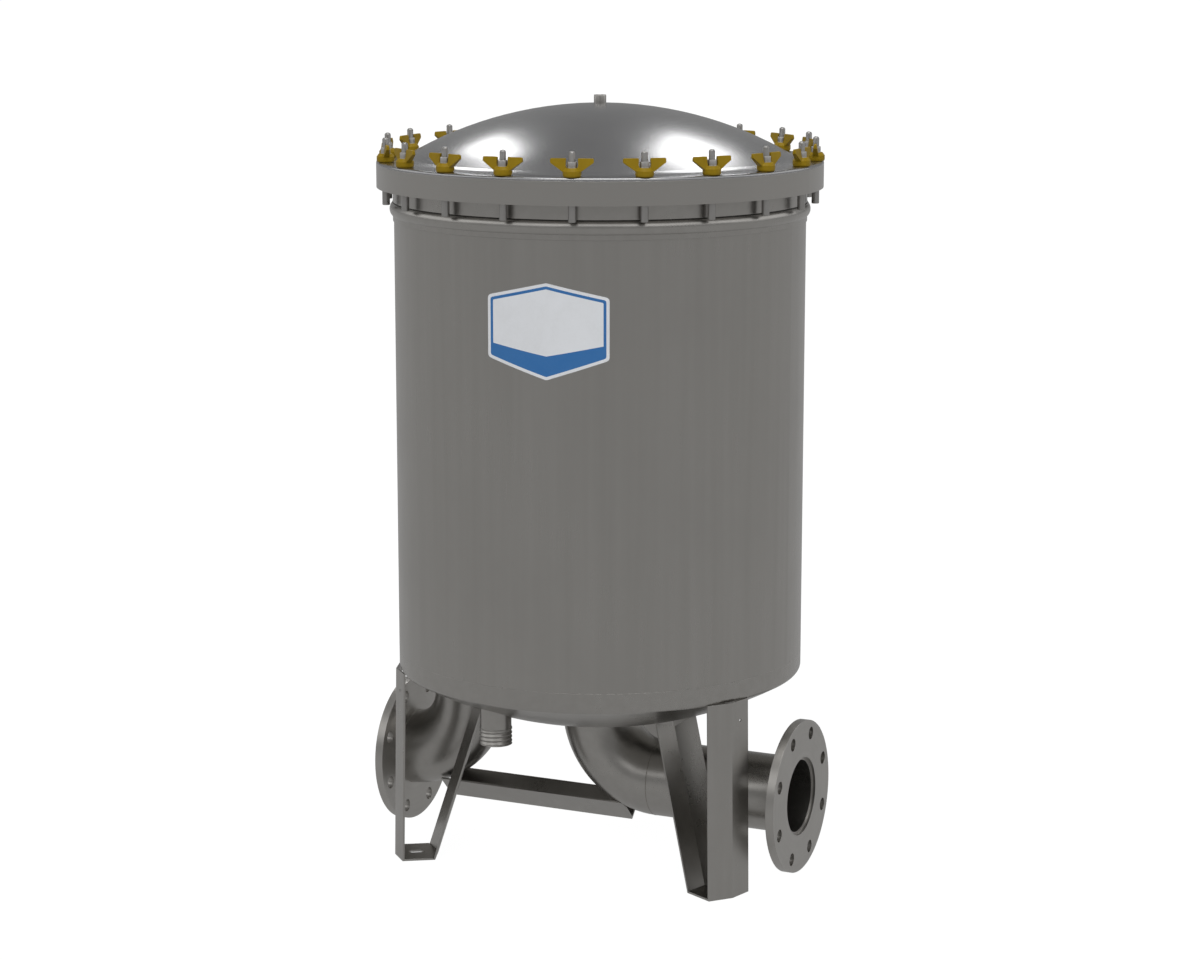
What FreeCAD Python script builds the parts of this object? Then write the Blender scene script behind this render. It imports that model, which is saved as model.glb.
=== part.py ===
import FreeCAD, Part
import math
import os
import re
import Sketcher
from FreeCAD import Placement, Rotation, Vector

# Upright cartridge filter: a stainless tank on three folded legs, closed by a dished lid under wing nuts.
# Millimetres, +Z up. The origin is on the floor under the tank's axis.
# +X runs along the pipes to the outlet.

doc = FreeCAD.newDocument("CartridgeFilter")
sheet = doc.addObject("Spreadsheet::Sheet", "Sizes")

drivingSizes = {
    # tank wall and rolled collar
    "tankRadius": 304.8,          # outside, half of 24 in
    "wall": 3.0,
    "skirtHeight": 24.1,          # straight skirt of the bottom, up to its weld
    "collarHeight": 49.5,
    "collarStep": 1.5,
    "beadDrop": 32.5,             # middle of the rolled bead below the ring
    "beadStep": 4.8,
    "beadRadius": 12.5,
    # dished bottom
    "dishSink": 11.4,             # lowest point of the bottom below the elbows' upper ends
    "dishRadius": 607.9,
    "knuckleRadius": 7.9,
    # closure ring and gasket
    "ringLip": 12.3,              # how far the ring reaches inwards past the collar's outside
    "ringThickness": 34.0,
    "gasketSetback": 9.0,
    "gasketWidth": 7.0,
    "gasketThickness": 5.0,
    "gasketSlack": 0.2,
    # studs
    "studCount": 20,
    "studRadius": 4.75,
    "studReach": 35.7,            # bare end above the lid's brim
    "studDome": 2.6,              # height of the tapered tip
    "studTaper": 2.1,
    "studEdge": 11.8,             # from the studs' circle to the ring's edge
    "shankRadius": 5.6,
    "shankLength": 23.4,
    "shankGap": 1.5,              # between the shanks and the rolled bead
    # lid
    "brimThickness": 5.0,
    "crownRadius": 570.6,
    "brimBlend": 37.0,
    "rimRound": 4.0,
    "studHoleSlack": 0.85,
    "ventRadius": 9.1,
    "ventBore": 5.55,
    "ventReach": 12.4,
    "ventInside": 8.6,
    # wing nuts
    "hubRadius": 12.8,
    "hubSide": 8.7,
    "hubHeight": 13.0,
    "hubShoulder": 3.4,
    "nutClearance": 1.26,         # flat brim left between a nut's hub and the lid's blend
    "insertRadius": 6.35,
    "insertTop": 22.4,
    "wingSpan": 60.4,
    "wingGap": 16.4,
    "wingTop": 25.7,
    "shoulderDrop": 4.3,          # the blade's outer edge starts to fall this far below its top
    "wingTipRound": 3.6,
    "wingRoot": 7.4,
    "kneePlace": 25.7,            # bend in the blade's outer edge, from the nut's axis
    "kneeHeight": 16.3,
    "bladeSink": 0.2,             # how far the blade runs into the hub
    "bladeTip": 3.4,
    "bladeRoot": 9.0,
    # ports
    "pipeRadius": 57.15,
    "pipeWall": 3.05,
    "pipeAxis": 121.0,
    "elbowRadius": 101.6,
    "faceReach": 26.0,            # flange faces beyond the tank's wall
    "inletSeat": 9.6,             # end of the inlet elbow behind its flange's face
    "pipeSetback": 5.0,
    "inletDrop": 22.0,            # top of the inlet riser below the collector pan
    "outletDrop": 50.0,
    "flangeThickness": 12.7,
    "recessStep": 1.35,
    "boltCount": 8,
    "boltCircle": 95.25,
    "boltHole": 9.525,
    "boltEdge": 19.05,            # from the bolts' circle to the flange's edge
    "weldGap": 0.1,
    # drain nipple
    "drainRadius": 24.13,
    "drainWall": 3.7,
    "drainNeck": 1.1,             # how much slimmer the neck is than the threaded end
    "threadLength": 24.3,
    "drainSetback": 66.3,         # its axis inside the tank's wall
    "drainAngle": -104.96,
    "drainDrop": 22.7,            # its top below the end of the knuckle
    "drainLength": 59.3,
    # legs
    "legCount": 3,
    "legAngle": -27.3,
    "legSheet": 3.0,
    "legHalfWidth": 37.8,
    "legSpread": 11.5,            # fold of the outer plate beyond the tank's wall, on the floor
    "legDepth": 66.3,             # between the two plates' folds on the floor
    "outerFold": 8.8,
    "outerLean": 5.2,
    "outerDrop": 5.0,             # top of the outer plate below the end of the knuckle
    "innerFold": 8.1,
    "innerLean": 71.0,
    "innerRise": 239.0,
    "slotSetback": 32.3,
    "slotLength": 23.0,
    "slotWidth": 11.0,
    "pinholeRadius": 2.4,
    "pinholePlace": 20.0,
    "pinholeDrop": 29.7,
    # cradle under the elbows
    "cradleLeg": 48.3,
    "cradleSheet": 3.0,
    "cradleDrop": 71.8,           # its lowest edge below the pipes' axis
    "cradleInletLap": 38.4,       # how far it runs past each elbow's upright end
    "cradleOutletLap": 54.4,
    # label plate
    "labelAngle": -79.3,
    "labelDrop": 123.8,           # middle of its upright sides below the collar
    "labelHalfWidth": 89.1,
    "labelSide": 43.8,
    "labelPeak": 63.6,
    "labelFoot": 72.8,
    "labelThickness": 0.6,
    "labelRound": 7.0,
    # collector and tube sheet
    "collectorGap": 34.8,         # between the pan and the outside of the wall
    "collectorLift": 14.3,        # pan above the end of the knuckle
    "collectorHeight": 35.0,
    "collectorSheet": 3.0,
    "spigotGap": 1.5,
    "spigotWall": 5.0,
    "spigotDepth": 26.0,
    "sealSection": 1.75,          # half the side of the square ring
    "sealDepth": 13.0,
    "sealSlack": 0.1,
    "tubeSheetThickness": 5.0,
    "collarletRadius": 31.0,
    "collarletWall": 3.0,
    "collarletHeight": 20.0,
    "bossRadius": 16.0,
    "bossHeight": 18.0,
    "bracketCount": 3,
    "bracketAngle": 32.7,
    "bracketWidth": 45.0,
    "bracketLap": 20.0,           # how far a bracket reaches under the pan
    "bracketThickness": 5.0,
    # cartridges and hold-down
    "cartridgeCount": 6,
    "cartridgeEdge": 8.0,         # between the cartridges and the tube sheet's edge
    "cartridgeGap": 16.0,         # between neighbours
    "cartridgeLength": 675.0,
    "capHeight": 15.0,
    "capOverhang": 3.0,
    "pleatCount": 40,
    "pleatDepth": 13.0,
    "coreSlack": 0.3,
    "closureRise": 25.0,          # closure ring's top above the cartridges
    "rodRadius": 6.35,
    "rodReach": 8.6,
    "plateThickness": 4.0,
    "plateInset": 2.0,
    "plateWindow": 38.0,
    "windowEdge": 13.3,
    "plateSlack": 0.3,
    "knobRadius": 17.0,
    "knobHeight": 22.0,
    "knobLobe": 9.0,
    "knobLobePlace": 24.0,
    "knobLobes": 3,
    "lobeHeight": 15.4,
    "runningSlack": 0.08,
    "seatGap": 0.1,
    "cutMargin": 1.0,             # how far a cutting shape runs past what it cuts
}

# Sizes and places that follow from those above, as cells with formulas.
derivedSizes = {
    # round the tank's axis, from the wall outwards and inwards
    "collarRadius": "tankRadius + collarStep",
    "beadPeak": "collarRadius + beadStep",
    "studCircle": "beadPeak + shankGap + shankRadius",
    "ringRadius": "studCircle + studEdge",
    "ringInner": "collarRadius - ringLip",
    "gasketInner": "ringInner + gasketSetback",
    "faceDistance": "tankRadius + faceReach",
    "inletOffset": "faceDistance - inletSeat - elbowRadius",
    "drainPlace": "tankRadius - drainSetback",
    "outerFoot": "tankRadius + legSpread",
    "innerFoot": "outerFoot - legDepth",
    "slotPlace": "outerFoot - slotSetback",
    "collectorRadius": "tankRadius - collectorGap",
    "bracketReach": "collectorRadius - bracketLap",
    "pitchShare": "sin(180 / cartridgeCount)",
    "cartridgeCircle": "(collectorRadius - cartridgeEdge + cartridgeGap / 2) / (1 + pitchShare)",
    "cartridgeRadius": "cartridgeCircle * pitchShare - cartridgeGap / 2",
    "pleatOuter": "cartridgeRadius - capOverhang",
    "pleatInner": "pleatOuter - pleatDepth",
    "plateRadius": "collectorRadius - plateInset",
    "windowPlace": "plateRadius - windowEdge - plateWindow",
    # heights, from the pipes up
    "riserFoot": "pipeAxis + elbowRadius",
    "cradleBottom": "pipeAxis - cradleDrop",
    "knucklePlace": "tankRadius - knuckleRadius",
    "dishDepth": "dishRadius - sqrt((dishRadius - knuckleRadius)^2 - knucklePlace^2)",
    "knuckleTop": "riserFoot - dishSink + dishDepth",
    "skirtTop": "knuckleTop + skirtHeight",
    "outerTop": "knuckleTop - outerDrop",
    "pinholeHeight": "outerTop - pinholeDrop",
    "drainTop": "knuckleTop - drainDrop",
    "drainBottom": "drainTop - drainLength",
    "collectorBottom": "knuckleTop + collectorLift",
    "inletRiserTop": "collectorBottom - inletDrop",
    "outletRiserTop": "collectorBottom - outletDrop",
    "spigotBottom": "outletRiserTop - spigotDepth",
    "sealHeight": "outletRiserTop - sealDepth",
    "sheetTop": "collectorBottom + collectorHeight + tubeSheetThickness",
    "cartridgeTop": "sheetTop + cartridgeLength",
    "plateBottom": "cartridgeTop + plateSlack",
    "knobBottom": "plateBottom + plateThickness + seatGap",
    "rodTop": "knobBottom + knobHeight + rodReach",
    "ringTop": "cartridgeTop + closureRise",
    "ringBottom": "ringTop - ringThickness",
    "collarBottom": "ringBottom - collarHeight",
    "beadHeight": "ringBottom - beadDrop",
    "labelMiddle": "collarBottom - labelDrop",
    "lidTop": "ringTop + brimThickness",
    # profiles of the lid and the bottom
    "blendPlace": "studCircle - hubRadius - nutClearance",
    "blendHeight": "sqrt((crownRadius + brimBlend)^2 - blendPlace^2)",
    "crownCentre": "lidTop + brimBlend - blendHeight",
    "crownTop": "crownCentre + crownRadius",
    "crownShare": "crownRadius / (crownRadius + brimBlend)",
    "crownShareIn": "(crownRadius - brimThickness) / (crownRadius + brimBlend)",
    "dishCentre": "knuckleTop - dishDepth + dishRadius",
    "dishShare": "dishRadius / (dishRadius - knuckleRadius)",
    "dishShareIn": "(dishRadius - wall) / (dishRadius - knuckleRadius)",
    # smaller parts
    "hubTopRadius": "hubRadius - hubShoulder",
    "wingShoulder": "wingTop - shoulderDrop",
    "flangeRadius": "boltCircle + boltEdge",
    "flangeRecess": "pipeRadius + recessStep",
    "spigotRadius": "pipeRadius - pipeWall - spigotGap",
    "drainX": "drainPlace * cos(drainAngle)",
    "drainY": "drainPlace * sin(drainAngle)",
    "cradleShift": "cradleLeg / sqrt(2)",
    "sheetShift": "cradleSheet / sqrt(2)",
    "cradleLeft": "0 - inletOffset - cradleInletLap",
}

row = 0
for alias, content in list(drivingSizes.items()) + list(derivedSizes.items()):
    row += 1
    cell = "B" + str(row)
    sheet.set("A" + str(row), alias)
    sheet.set(cell, "=" + content if isinstance(content, str) else str(content))
    sheet.setAlias(cell, alias)
doc.recompute()

aliases = set(drivingSizes) | set(derivedSizes)
keptNodes = []


def withSheet(text):
    # Writes "tankRadius - wall" as "Sizes.tankRadius - Sizes.wall".
    return re.sub(r"[A-Za-z]+", lambda m: "Sizes." + m.group() if m.group() in aliases else m.group(), text)


def number(text):
    found = sheet.evalExpression(text)
    return float(getattr(found, "Value", found))


def bind(item, path, text):
    item.setExpression(path, withSheet(text))


def keep(item, label):
    item.Label = label
    keptNodes.append(item)
    return item


def instance(item, label, x="0", y="0", z="0", turn=None):
    # One more of a piece that is modelled once.
    return keep(place(joined("Compound", label, [item]), x, y, z, turn), label)


def place(item, x="0", y="0", z="0", turn=None, axis=Vector(0, 0, 1)):
    # Bound to the sheet, turned about an axis through its own origin.
    if turn is not None:
        item.Placement = Placement(Vector(0, 0, 0), Rotation(axis, number(turn)))
        bind(item, "Placement.Rotation.Angle", turn)
    for path, text in (("x", x), ("y", y), ("z", z)):
        if text != "0":
            bind(item, "Placement.Base." + path, text)
    return item


def newBody(name):
    return doc.addObject("PartDesign::Body", name)


def originFeature(body, role):
    return [feature for feature in body.Origin.OriginFeatures if feature.Role == role][0]


def newSketch(body, name, plane="XY_Plane", height="0"):
    sketch = body.newObject("Sketcher::SketchObject", name)
    sketch.AttachmentSupport = [(originFeature(body, plane), "")]
    sketch.MapMode = "FlatFace"
    if height != "0":
        bind(sketch, "AttachmentOffset.Base.z", height)
    return sketch


def tie(sketch, kind, *places_and_text):
    # Adds one dimension to a sketch and binds it to the sheet.
    *places, text = places_and_text
    index = sketch.addConstraint(Sketcher.Constraint(kind, *places, number(text)))
    sketch.setExpression("Constraints[" + str(index) + "]", withSheet(text))


def outline(sketch, corners, arcs=()):
    # A closed outline through corners given as pairs of formulas.
    # arcs maps a corner's index to (radius, side). The edge that leaves that corner bends,
    # with its centre on the left (1) or the right (-1).
    arcs = dict(arcs)
    points = [Vector(number(x), number(y), 0) for x, y in corners]
    edges = []
    for i, start in enumerate(points):
        end = points[(i + 1) % len(points)]
        if i not in arcs:
            edges.append((sketch.addGeometry(Part.LineSegment(start, end), False), 1, 2))
            continue
        radius, side = number(arcs[i][0]), arcs[i][1]
        chord = end - start
        rise = max(radius ** 2 - (chord.Length / 2) ** 2, 0) ** 0.5
        centre = (start + end) * 0.5 + Vector(-chord.y, chord.x, 0).normalize() * rise * side
        first, last = (start, end) if side > 0 else (end, start)
        east = Vector(1, 0, 0)
        angles = [east.getAngle(p - centre) * (1 if p.y >= centre.y else -1) for p in (first, last)]
        bend = Part.ArcOfCircle(Part.Circle(centre, Vector(0, 0, 1), radius), *angles)
        edge = sketch.addGeometry(bend, False)
        edges.append((edge, 1, 2) if side > 0 else (edge, 2, 1))
    for i, (edge, start, end) in enumerate(edges):
        after = edges[(i + 1) % len(edges)]
        sketch.addConstraint(Sketcher.Constraint("Coincident", edge, end, after[0], after[1]))
        tie(sketch, "DistanceX", -1, 1, edge, start, corners[i][0])
        tie(sketch, "DistanceY", -1, 1, edge, start, corners[i][1])
        if i in arcs:
            tie(sketch, "Radius", edge, arcs[i][0])


def circle(sketch, radius, x="0", y="0"):
    ring = Part.Circle(Vector(number(x), number(y), 0), Vector(0, 0, 1), number(radius))
    edge = sketch.addGeometry(ring, False)
    tie(sketch, "DistanceX", -1, 1, edge, 3, x)
    tie(sketch, "DistanceY", -1, 1, edge, 3, y)
    tie(sketch, "Radius", edge, radius)


def slot(sketch, middle, length, width):
    # Round-ended slot along the sketch's X axis.
    half = "(" + length + " - " + width + ") / 2"
    reach, radius = number(half), number(width) / 2
    centres = [Vector(number(middle) + side * reach, 0, 0) for side in (1, -1)]
    turns = [(-math.pi / 2, math.pi / 2), (math.pi / 2, math.pi * 1.5)]
    ends = []
    for centre, turn in zip(centres, turns):
        bend = Part.ArcOfCircle(Part.Circle(centre, Vector(0, 0, 1), radius), *turn)
        ends.append(sketch.addGeometry(bend, False))
    up = Vector(0, radius, 0)
    upper = sketch.addGeometry(Part.LineSegment(centres[0] + up, centres[1] + up), False)
    lower = sketch.addGeometry(Part.LineSegment(centres[1] - up, centres[0] - up), False)
    for first, last in ((ends[0], upper), (upper, ends[1]), (ends[1], lower), (lower, ends[0])):
        sketch.addConstraint(Sketcher.Constraint("Tangent", first, 2, last, 1))
    for end, sign in zip(ends, (" + ", " - ")):
        sketch.addConstraint(Sketcher.Constraint("PointOnObject", end, 3, -1))
        tie(sketch, "DistanceX", -1, 1, end, 3, middle + sign + half)
    sketch.addConstraint(Sketcher.Constraint("Equal", ends[0], ends[1]))
    tie(sketch, "Radius", ends[0], width + " / 2")


def revolve(body, sketch):
    feature = body.newObject("PartDesign::Revolution", sketch.Name + "Turn")
    feature.Profile = sketch
    feature.ReferenceAxis = (sketch, ["V_Axis"])
    feature.Angle = 360
    return feature


def pad(body, sketch, length, both=False):
    feature = body.newObject("PartDesign::Pad", sketch.Name + "Pad")
    feature.Profile = sketch
    bind(feature, "Length", length)
    feature.Midplane = both
    return feature


def cutThrough(body, sketch):
    feature = body.newObject("PartDesign::Pocket", sketch.Name + "Cut")
    feature.Profile = sketch
    feature.Type = "ThroughAll"
    feature.Midplane = True
    return feature


def cutDown(body, sketch, depth):
    # From the sketch's plane downwards.
    feature = body.newObject("PartDesign::Pocket", sketch.Name + "Cut")
    feature.Profile = sketch
    bind(feature, "Length", depth)
    return feature


def aroundAxis(body, features, count):
    pattern = body.newObject("PartDesign::PolarPattern", features[-1].Name + "Ring")
    pattern.Originals = features
    pattern.Axis = (originFeature(body, "Z_Axis"), [""])
    pattern.Angle = 360
    bind(pattern, "Occurrences", count)
    body.Tip = pattern
    return pattern


def cylinder(name, radius, height, bottom="0"):
    item = doc.addObject("Part::Cylinder", name)
    bind(item, "Radius", radius)
    bind(item, "Height", height)
    return place(item, z=bottom)


def joined(kind, name, items):
    item = doc.addObject("Part::" + kind, name)
    if kind == "Cut":
        item.Base, item.Tool = items
    elif kind == "Compound":
        item.Links = items
    else:
        item.Shapes = items
    return item


def tube(name, outer, inner, height, bottom="0"):
    # The tool runs past both ends.
    solid = cylinder(name + "Outer", outer, height, bottom)
    bore = cylinder(name + "Bore", inner, height + " + 2 * cutMargin", "(" + bottom + ") - cutMargin")
    return joined("Cut", name, [solid, bore])


# Tank

def tankWall():
    keep(tube("Wall", "tankRadius", "tankRadius - wall", "collarBottom - skirtTop", "skirtTop"), "tank_wall")


def tankCollar():
    # Straight band with one rolled bead below the ring.
    body = newBody("Collar")
    sketch = newSketch(body, "CollarProfile", "XZ_Plane")
    reach = "sqrt(beadRadius^2 - (beadRadius - (beadPeak - collarRadius))^2)"
    outline(sketch, [
        ("collarRadius - wall", "collarBottom"),
        ("collarRadius", "collarBottom"),
        ("collarRadius", "beadHeight - " + reach),
        ("collarRadius", "beadHeight + " + reach),
        ("collarRadius", "ringBottom"),
        ("collarRadius - wall", "ringBottom"),
    ], {2: ("beadRadius", 1)})
    revolve(body, sketch)
    keep(body, "tank_collar")


def closureRing():
    body = newBody("Ring")
    sketch = newSketch(body, "RingPlan", height="ringBottom")
    circle(sketch, "ringRadius")
    circle(sketch, "ringInner")
    pad(body, sketch, "ringThickness")
    groove = newSketch(body, "GasketGroove", height="ringTop")
    circle(groove, "gasketInner + gasketWidth + gasketSlack")
    circle(groove, "gasketInner - gasketSlack")
    cutDown(body, groove, "gasketThickness")
    hole = newSketch(body, "StudHole", height="ringTop")
    circle(hole, "studRadius + weldGap", "studCircle")
    aroundAxis(body, [cutThrough(body, hole)], "studCount")
    keep(body, "closure_ring")


def lidGasket():
    ring = tube("Gasket", "gasketInner + gasketWidth", "gasketInner", "gasketThickness",
                "ringTop - gasketThickness")
    keep(ring, "lid_gasket")


def studSet():
    # One group: each stud has a thicker shank under the ring, a slim end through the lid and a rounded tip.
    studs = []
    for i in range(round(number("studCount"))):
        name = "Stud" + str(i)
        length = "ringThickness + brimThickness + studReach"
        shank = cylinder(name + "Shank", "shankRadius", "shankLength", "0 - shankLength")
        stem = cylinder(name + "Stem", "studRadius", length + " - studDome")
        tip = doc.addObject("Part::Cone", name + "Tip")
        bind(tip, "Radius1", "studRadius")
        bind(tip, "Radius2", "studRadius - studTaper")
        bind(tip, "Height", "studDome")
        place(tip, z=length + " - studDome")
        stud = joined("MultiFuse", name, [shank, stem, tip])
        angle = str(i) + " * 360 / studCount"
        x, y = "studCircle * cos(" + angle + ")", "studCircle * sin(" + angle + ")"
        studs.append(place(stud, x, y, "ringBottom"))
    keep(joined("Compound", "Studs", studs), "closure_studs")


def dishedBottom():
    body = newBody("Bottom")
    sketch = newSketch(body, "BottomProfile", "XZ_Plane")
    outline(sketch, [
        ("0", "dishCentre - dishRadius"),
        ("knucklePlace * dishShare", "dishCentre - (dishCentre - knuckleTop) * dishShare"),
        ("tankRadius", "knuckleTop"),
        ("tankRadius", "skirtTop"),
        ("tankRadius - wall", "skirtTop"),
        ("tankRadius - wall", "knuckleTop"),
        ("knucklePlace * dishShareIn", "dishCentre - (dishCentre - knuckleTop) * dishShareIn"),
        ("0", "dishCentre - dishRadius + wall"),
    ], {
        0: ("dishRadius", 1),
        1: ("knuckleRadius", 1),
        5: ("knuckleRadius - wall", -1),
        6: ("dishRadius - wall", -1),
    })
    revolve(body, sketch)
    holes = newSketch(body, "BottomHoles", height="knuckleTop")
    circle(holes, "pipeRadius + weldGap")
    circle(holes, "pipeRadius + weldGap", "0 - inletOffset")
    circle(holes, "drainRadius - drainNeck + weldGap", "drainX", "drainY")
    cutThrough(body, holes)
    # The outlet already bends where it passes through.
    bend = quarterBend("BottomBend", "pipeRadius + weldGap", "0", True)
    keep(joined("Cut", "BottomTrim", [body, bend]), "dished_bottom")


# Lid

def dishedLid():
    # Crown, blend and flat brim in one pressing, with a rounded rim.
    body = newBody("Lid")
    sketch = newSketch(body, "LidProfile", "XZ_Plane")
    outline(sketch, [
        ("0", "crownTop"),
        ("0", "crownTop - brimThickness"),
        ("blendPlace * crownShareIn", "crownCentre + blendHeight * crownShareIn"),
        ("blendPlace", "ringTop"),
        ("ringRadius", "ringTop"),
        ("ringRadius", "lidTop - rimRound"),
        ("ringRadius - rimRound", "lidTop"),
        ("blendPlace", "lidTop"),
        ("blendPlace * crownShare", "crownCentre + blendHeight * crownShare"),
    ], {
        1: ("crownRadius - brimThickness", -1),
        2: ("brimBlend + brimThickness", 1),
        5: ("rimRound", 1),
        7: ("brimBlend", -1),
        8: ("crownRadius", 1),
    })
    revolve(body, sketch)
    vent = newSketch(body, "VentHole", height="lidTop")
    circle(vent, "ventRadius + weldGap")
    cutThrough(body, vent)
    hole = newSketch(body, "LidStudHole", height="lidTop")
    circle(hole, "studRadius + studHoleSlack", "studCircle")
    aroundAxis(body, [cutThrough(body, hole)], "studCount")
    keep(body, "lid")


def ventCoupling():
    bottom = "crownTop - ventInside"
    coupling = tube("Vent", "ventRadius", "ventBore", "ventReach + ventInside", bottom)
    keep(coupling, "vent_coupling")


def wingNuts():
    # Blades first, thinned towards the top, then the round hub with its insert, then the bore.
    name = "WingNut"
    body = newBody(name)
    blades = newSketch(body, name + "Blades", "XZ_Plane")
    for side in ("1", "-1"):
        corners = [
            (side + " * insertRadius", "wingRoot"),
            (side + " * (hubRadius - bladeSink)", "wingRoot"),
            (side + " * kneePlace", "kneeHeight"),
            (side + " * wingSpan / 2", "wingShoulder"),
            (side + " * wingSpan / 2", "wingTop - wingTipRound"),
            (side + " * (wingSpan / 2 - wingTipRound)", "wingTop"),
            (side + " * wingGap / 2", "wingTop"),
            (side + " * wingGap / 2", "hubHeight - bladeSink"),
            (side + " * insertRadius", "hubSide"),
        ]
        outline(blades, corners, {4: ("wingTipRound", int(side))})
    pad(body, blades, "bladeRoot", both=True)
    thinning = newSketch(body, name + "Thinning", "YZ_Plane")
    for side in ("1", "-1"):
        outline(thinning, [
            (side + " * bladeTip / 2", "wingTop"),
            (side + " * bladeRoot / 2", "hubSide"),
            (side + " * (bladeRoot / 2 + cutMargin)", "hubSide"),
            (side + " * (bladeRoot / 2 + cutMargin)", "wingTop + cutMargin"),
            (side + " * bladeTip / 2", "wingTop + cutMargin"),
        ])
    cutThrough(body, thinning)
    hub = newSketch(body, name + "Hub", "XZ_Plane")
    outline(hub, [
        ("0", "0"),
        ("hubRadius", "0"),
        ("hubRadius", "hubSide"),
        ("hubTopRadius", "hubHeight"),
        ("insertRadius", "hubHeight"),
        ("insertRadius", "insertTop"),
        ("0", "insertTop"),
    ])
    revolve(body, hub)
    bore = newSketch(body, name + "Bore", height="hubSide")
    circle(bore, "studRadius + runningSlack")
    cutThrough(body, bore)
    for i in range(round(number("studCount"))):
        angle = str(i) + " * 360 / studCount"
        x, y = "studCircle * cos(" + angle + ")", "studCircle * sin(" + angle + ")"
        instance(body, "wing_nut_" + format(i + 1, "02d"), x, y, "lidTop + seatGap", "90 + " + angle)


# Ports and their pipes

def quarterBend(name, section, axisPlace, towardsPlus):
    # Quarter torus from a vertical leg at axisPlace down into the pipe's level run.
    bend = doc.addObject("Part::Torus", name)
    bind(bend, "Radius1", "elbowRadius")
    bind(bend, "Radius2", section)
    bend.Angle3 = 90
    # The torus lies in XY; this stands it in XZ with its centre beside and above the pipe's axis.
    stand = Rotation(Vector(1, 0, 0), 90) * Rotation(Vector(0, 0, 1), 180 if towardsPlus else -90)
    bend.Placement = Placement(Vector(0, 0, 0), stand)
    bind(bend, "Placement.Base.x", axisPlace + (" + elbowRadius" if towardsPlus else " - elbowRadius"))
    bind(bend, "Placement.Base.z", "riserFoot")
    return bend


def elbow(label, axisPlace, towardsPlus):
    outside = quarterBend(label + "Outside", "pipeRadius", axisPlace, towardsPlus)
    bore = quarterBend(label + "Bore", "pipeRadius - pipeWall", axisPlace, towardsPlus)
    keep(joined("Cut", label, [outside, bore]), label)


def riser(label, x, top):
    pipe = tube(label, "pipeRadius", "pipeRadius - pipeWall", top + " - riserFoot")
    keep(place(pipe, x, z="riserFoot"), label)


def levelPipe(label, start, length):
    pipe = tube(label, "pipeRadius", "pipeRadius - pipeWall", length)
    keep(place(pipe, start, z="pipeAxis", turn="90", axis=Vector(0, 1, 0)), label)


def flange(label, x, turn):
    # Flat plate with a seat for the pipe, a recess at the face and bolt holes beside the centre lines.
    body = newBody(label)
    plan = newSketch(body, label + "Plan")
    circle(plan, "flangeRadius")
    circle(plan, "pipeRadius + weldGap")
    pad(body, plan, "flangeThickness")
    recess = newSketch(body, label + "Recess", height="flangeThickness")
    circle(recess, "flangeRecess")
    cutDown(body, recess, "pipeSetback")
    hole = newSketch(body, label + "Hole", height="flangeThickness")
    circle(hole, "boltHole", "boltCircle * cos(180 / boltCount)", "boltCircle * sin(180 / boltCount)")
    aroundAxis(body, [cutThrough(body, hole)], "boltCount")
    keep(place(body, x, z="pipeAxis", turn=turn, axis=Vector(0, 1, 0)), label)


def drainNipple():
    # Plain neck through the bottom, then the wider end that takes the thread.
    body = newBody("Drain")
    sketch = newSketch(body, "DrainProfile", "XZ_Plane")
    outline(sketch, [
        ("drainRadius - drainWall", "0"),
        ("drainRadius", "0"),
        ("drainRadius", "threadLength"),
        ("drainRadius - drainNeck", "threadLength"),
        ("drainRadius - drainNeck", "drainLength"),
        ("drainRadius - drainWall", "drainLength"),
    ])
    revolve(body, sketch)
    keep(place(body, "drainX", "drainY", "drainBottom"), "drain_nipple")


# Legs, made at angle 0 and turned into place

def slantedPlate(name, outwards, foot, fold, lean, rise, top):
    # Sheet with a shallow fold along its middle, leaning towards the tank's axis as it rises.
    sign = " - " if outwards else " + "
    body = newBody(name)
    plan = newSketch(body, name + "Plan")
    thick = " - legSheet" if outwards else " + legSheet"
    outline(plan, [
        (foot, "0"),
        (foot + sign + fold, "legHalfWidth"),
        (foot + sign + fold + thick, "legHalfWidth"),
        (foot + thick, "0"),
        (foot + sign + fold + thick, "0 - legHalfWidth"),
        (foot + sign + fold, "0 - legHalfWidth"),
    ])
    plate = pad(body, plan, top)
    plate.UseCustomVector = True
    plate.AlongSketchNormal = True
    plate.Direction = Vector(-number(lean), 0, number(rise))
    bind(plate, "Direction.x", "0 - " + lean)
    bind(plate, "Direction.z", rise)
    return body


def tankEnvelope(name):
    # The filled tank, a little oversize, to trim what is welded to it.
    body = newBody(name)
    sketch = newSketch(body, name + "Profile", "XZ_Plane")
    crown, knuckle = "(dishRadius + weldGap)", "(knuckleRadius + weldGap)"
    share = crown + " / (dishRadius - knuckleRadius)"
    outline(sketch, [
        ("0", "dishCentre - " + crown),
        ("knucklePlace * " + share, "dishCentre - (dishCentre - knuckleTop) * " + share),
        ("tankRadius + weldGap", "knuckleTop"),
        ("tankRadius + weldGap", "collarBottom"),
        ("0", "collarBottom"),
    ], {0: (crown, 1), 1: (knuckle, 1)})
    revolve(body, sketch)
    return body


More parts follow.
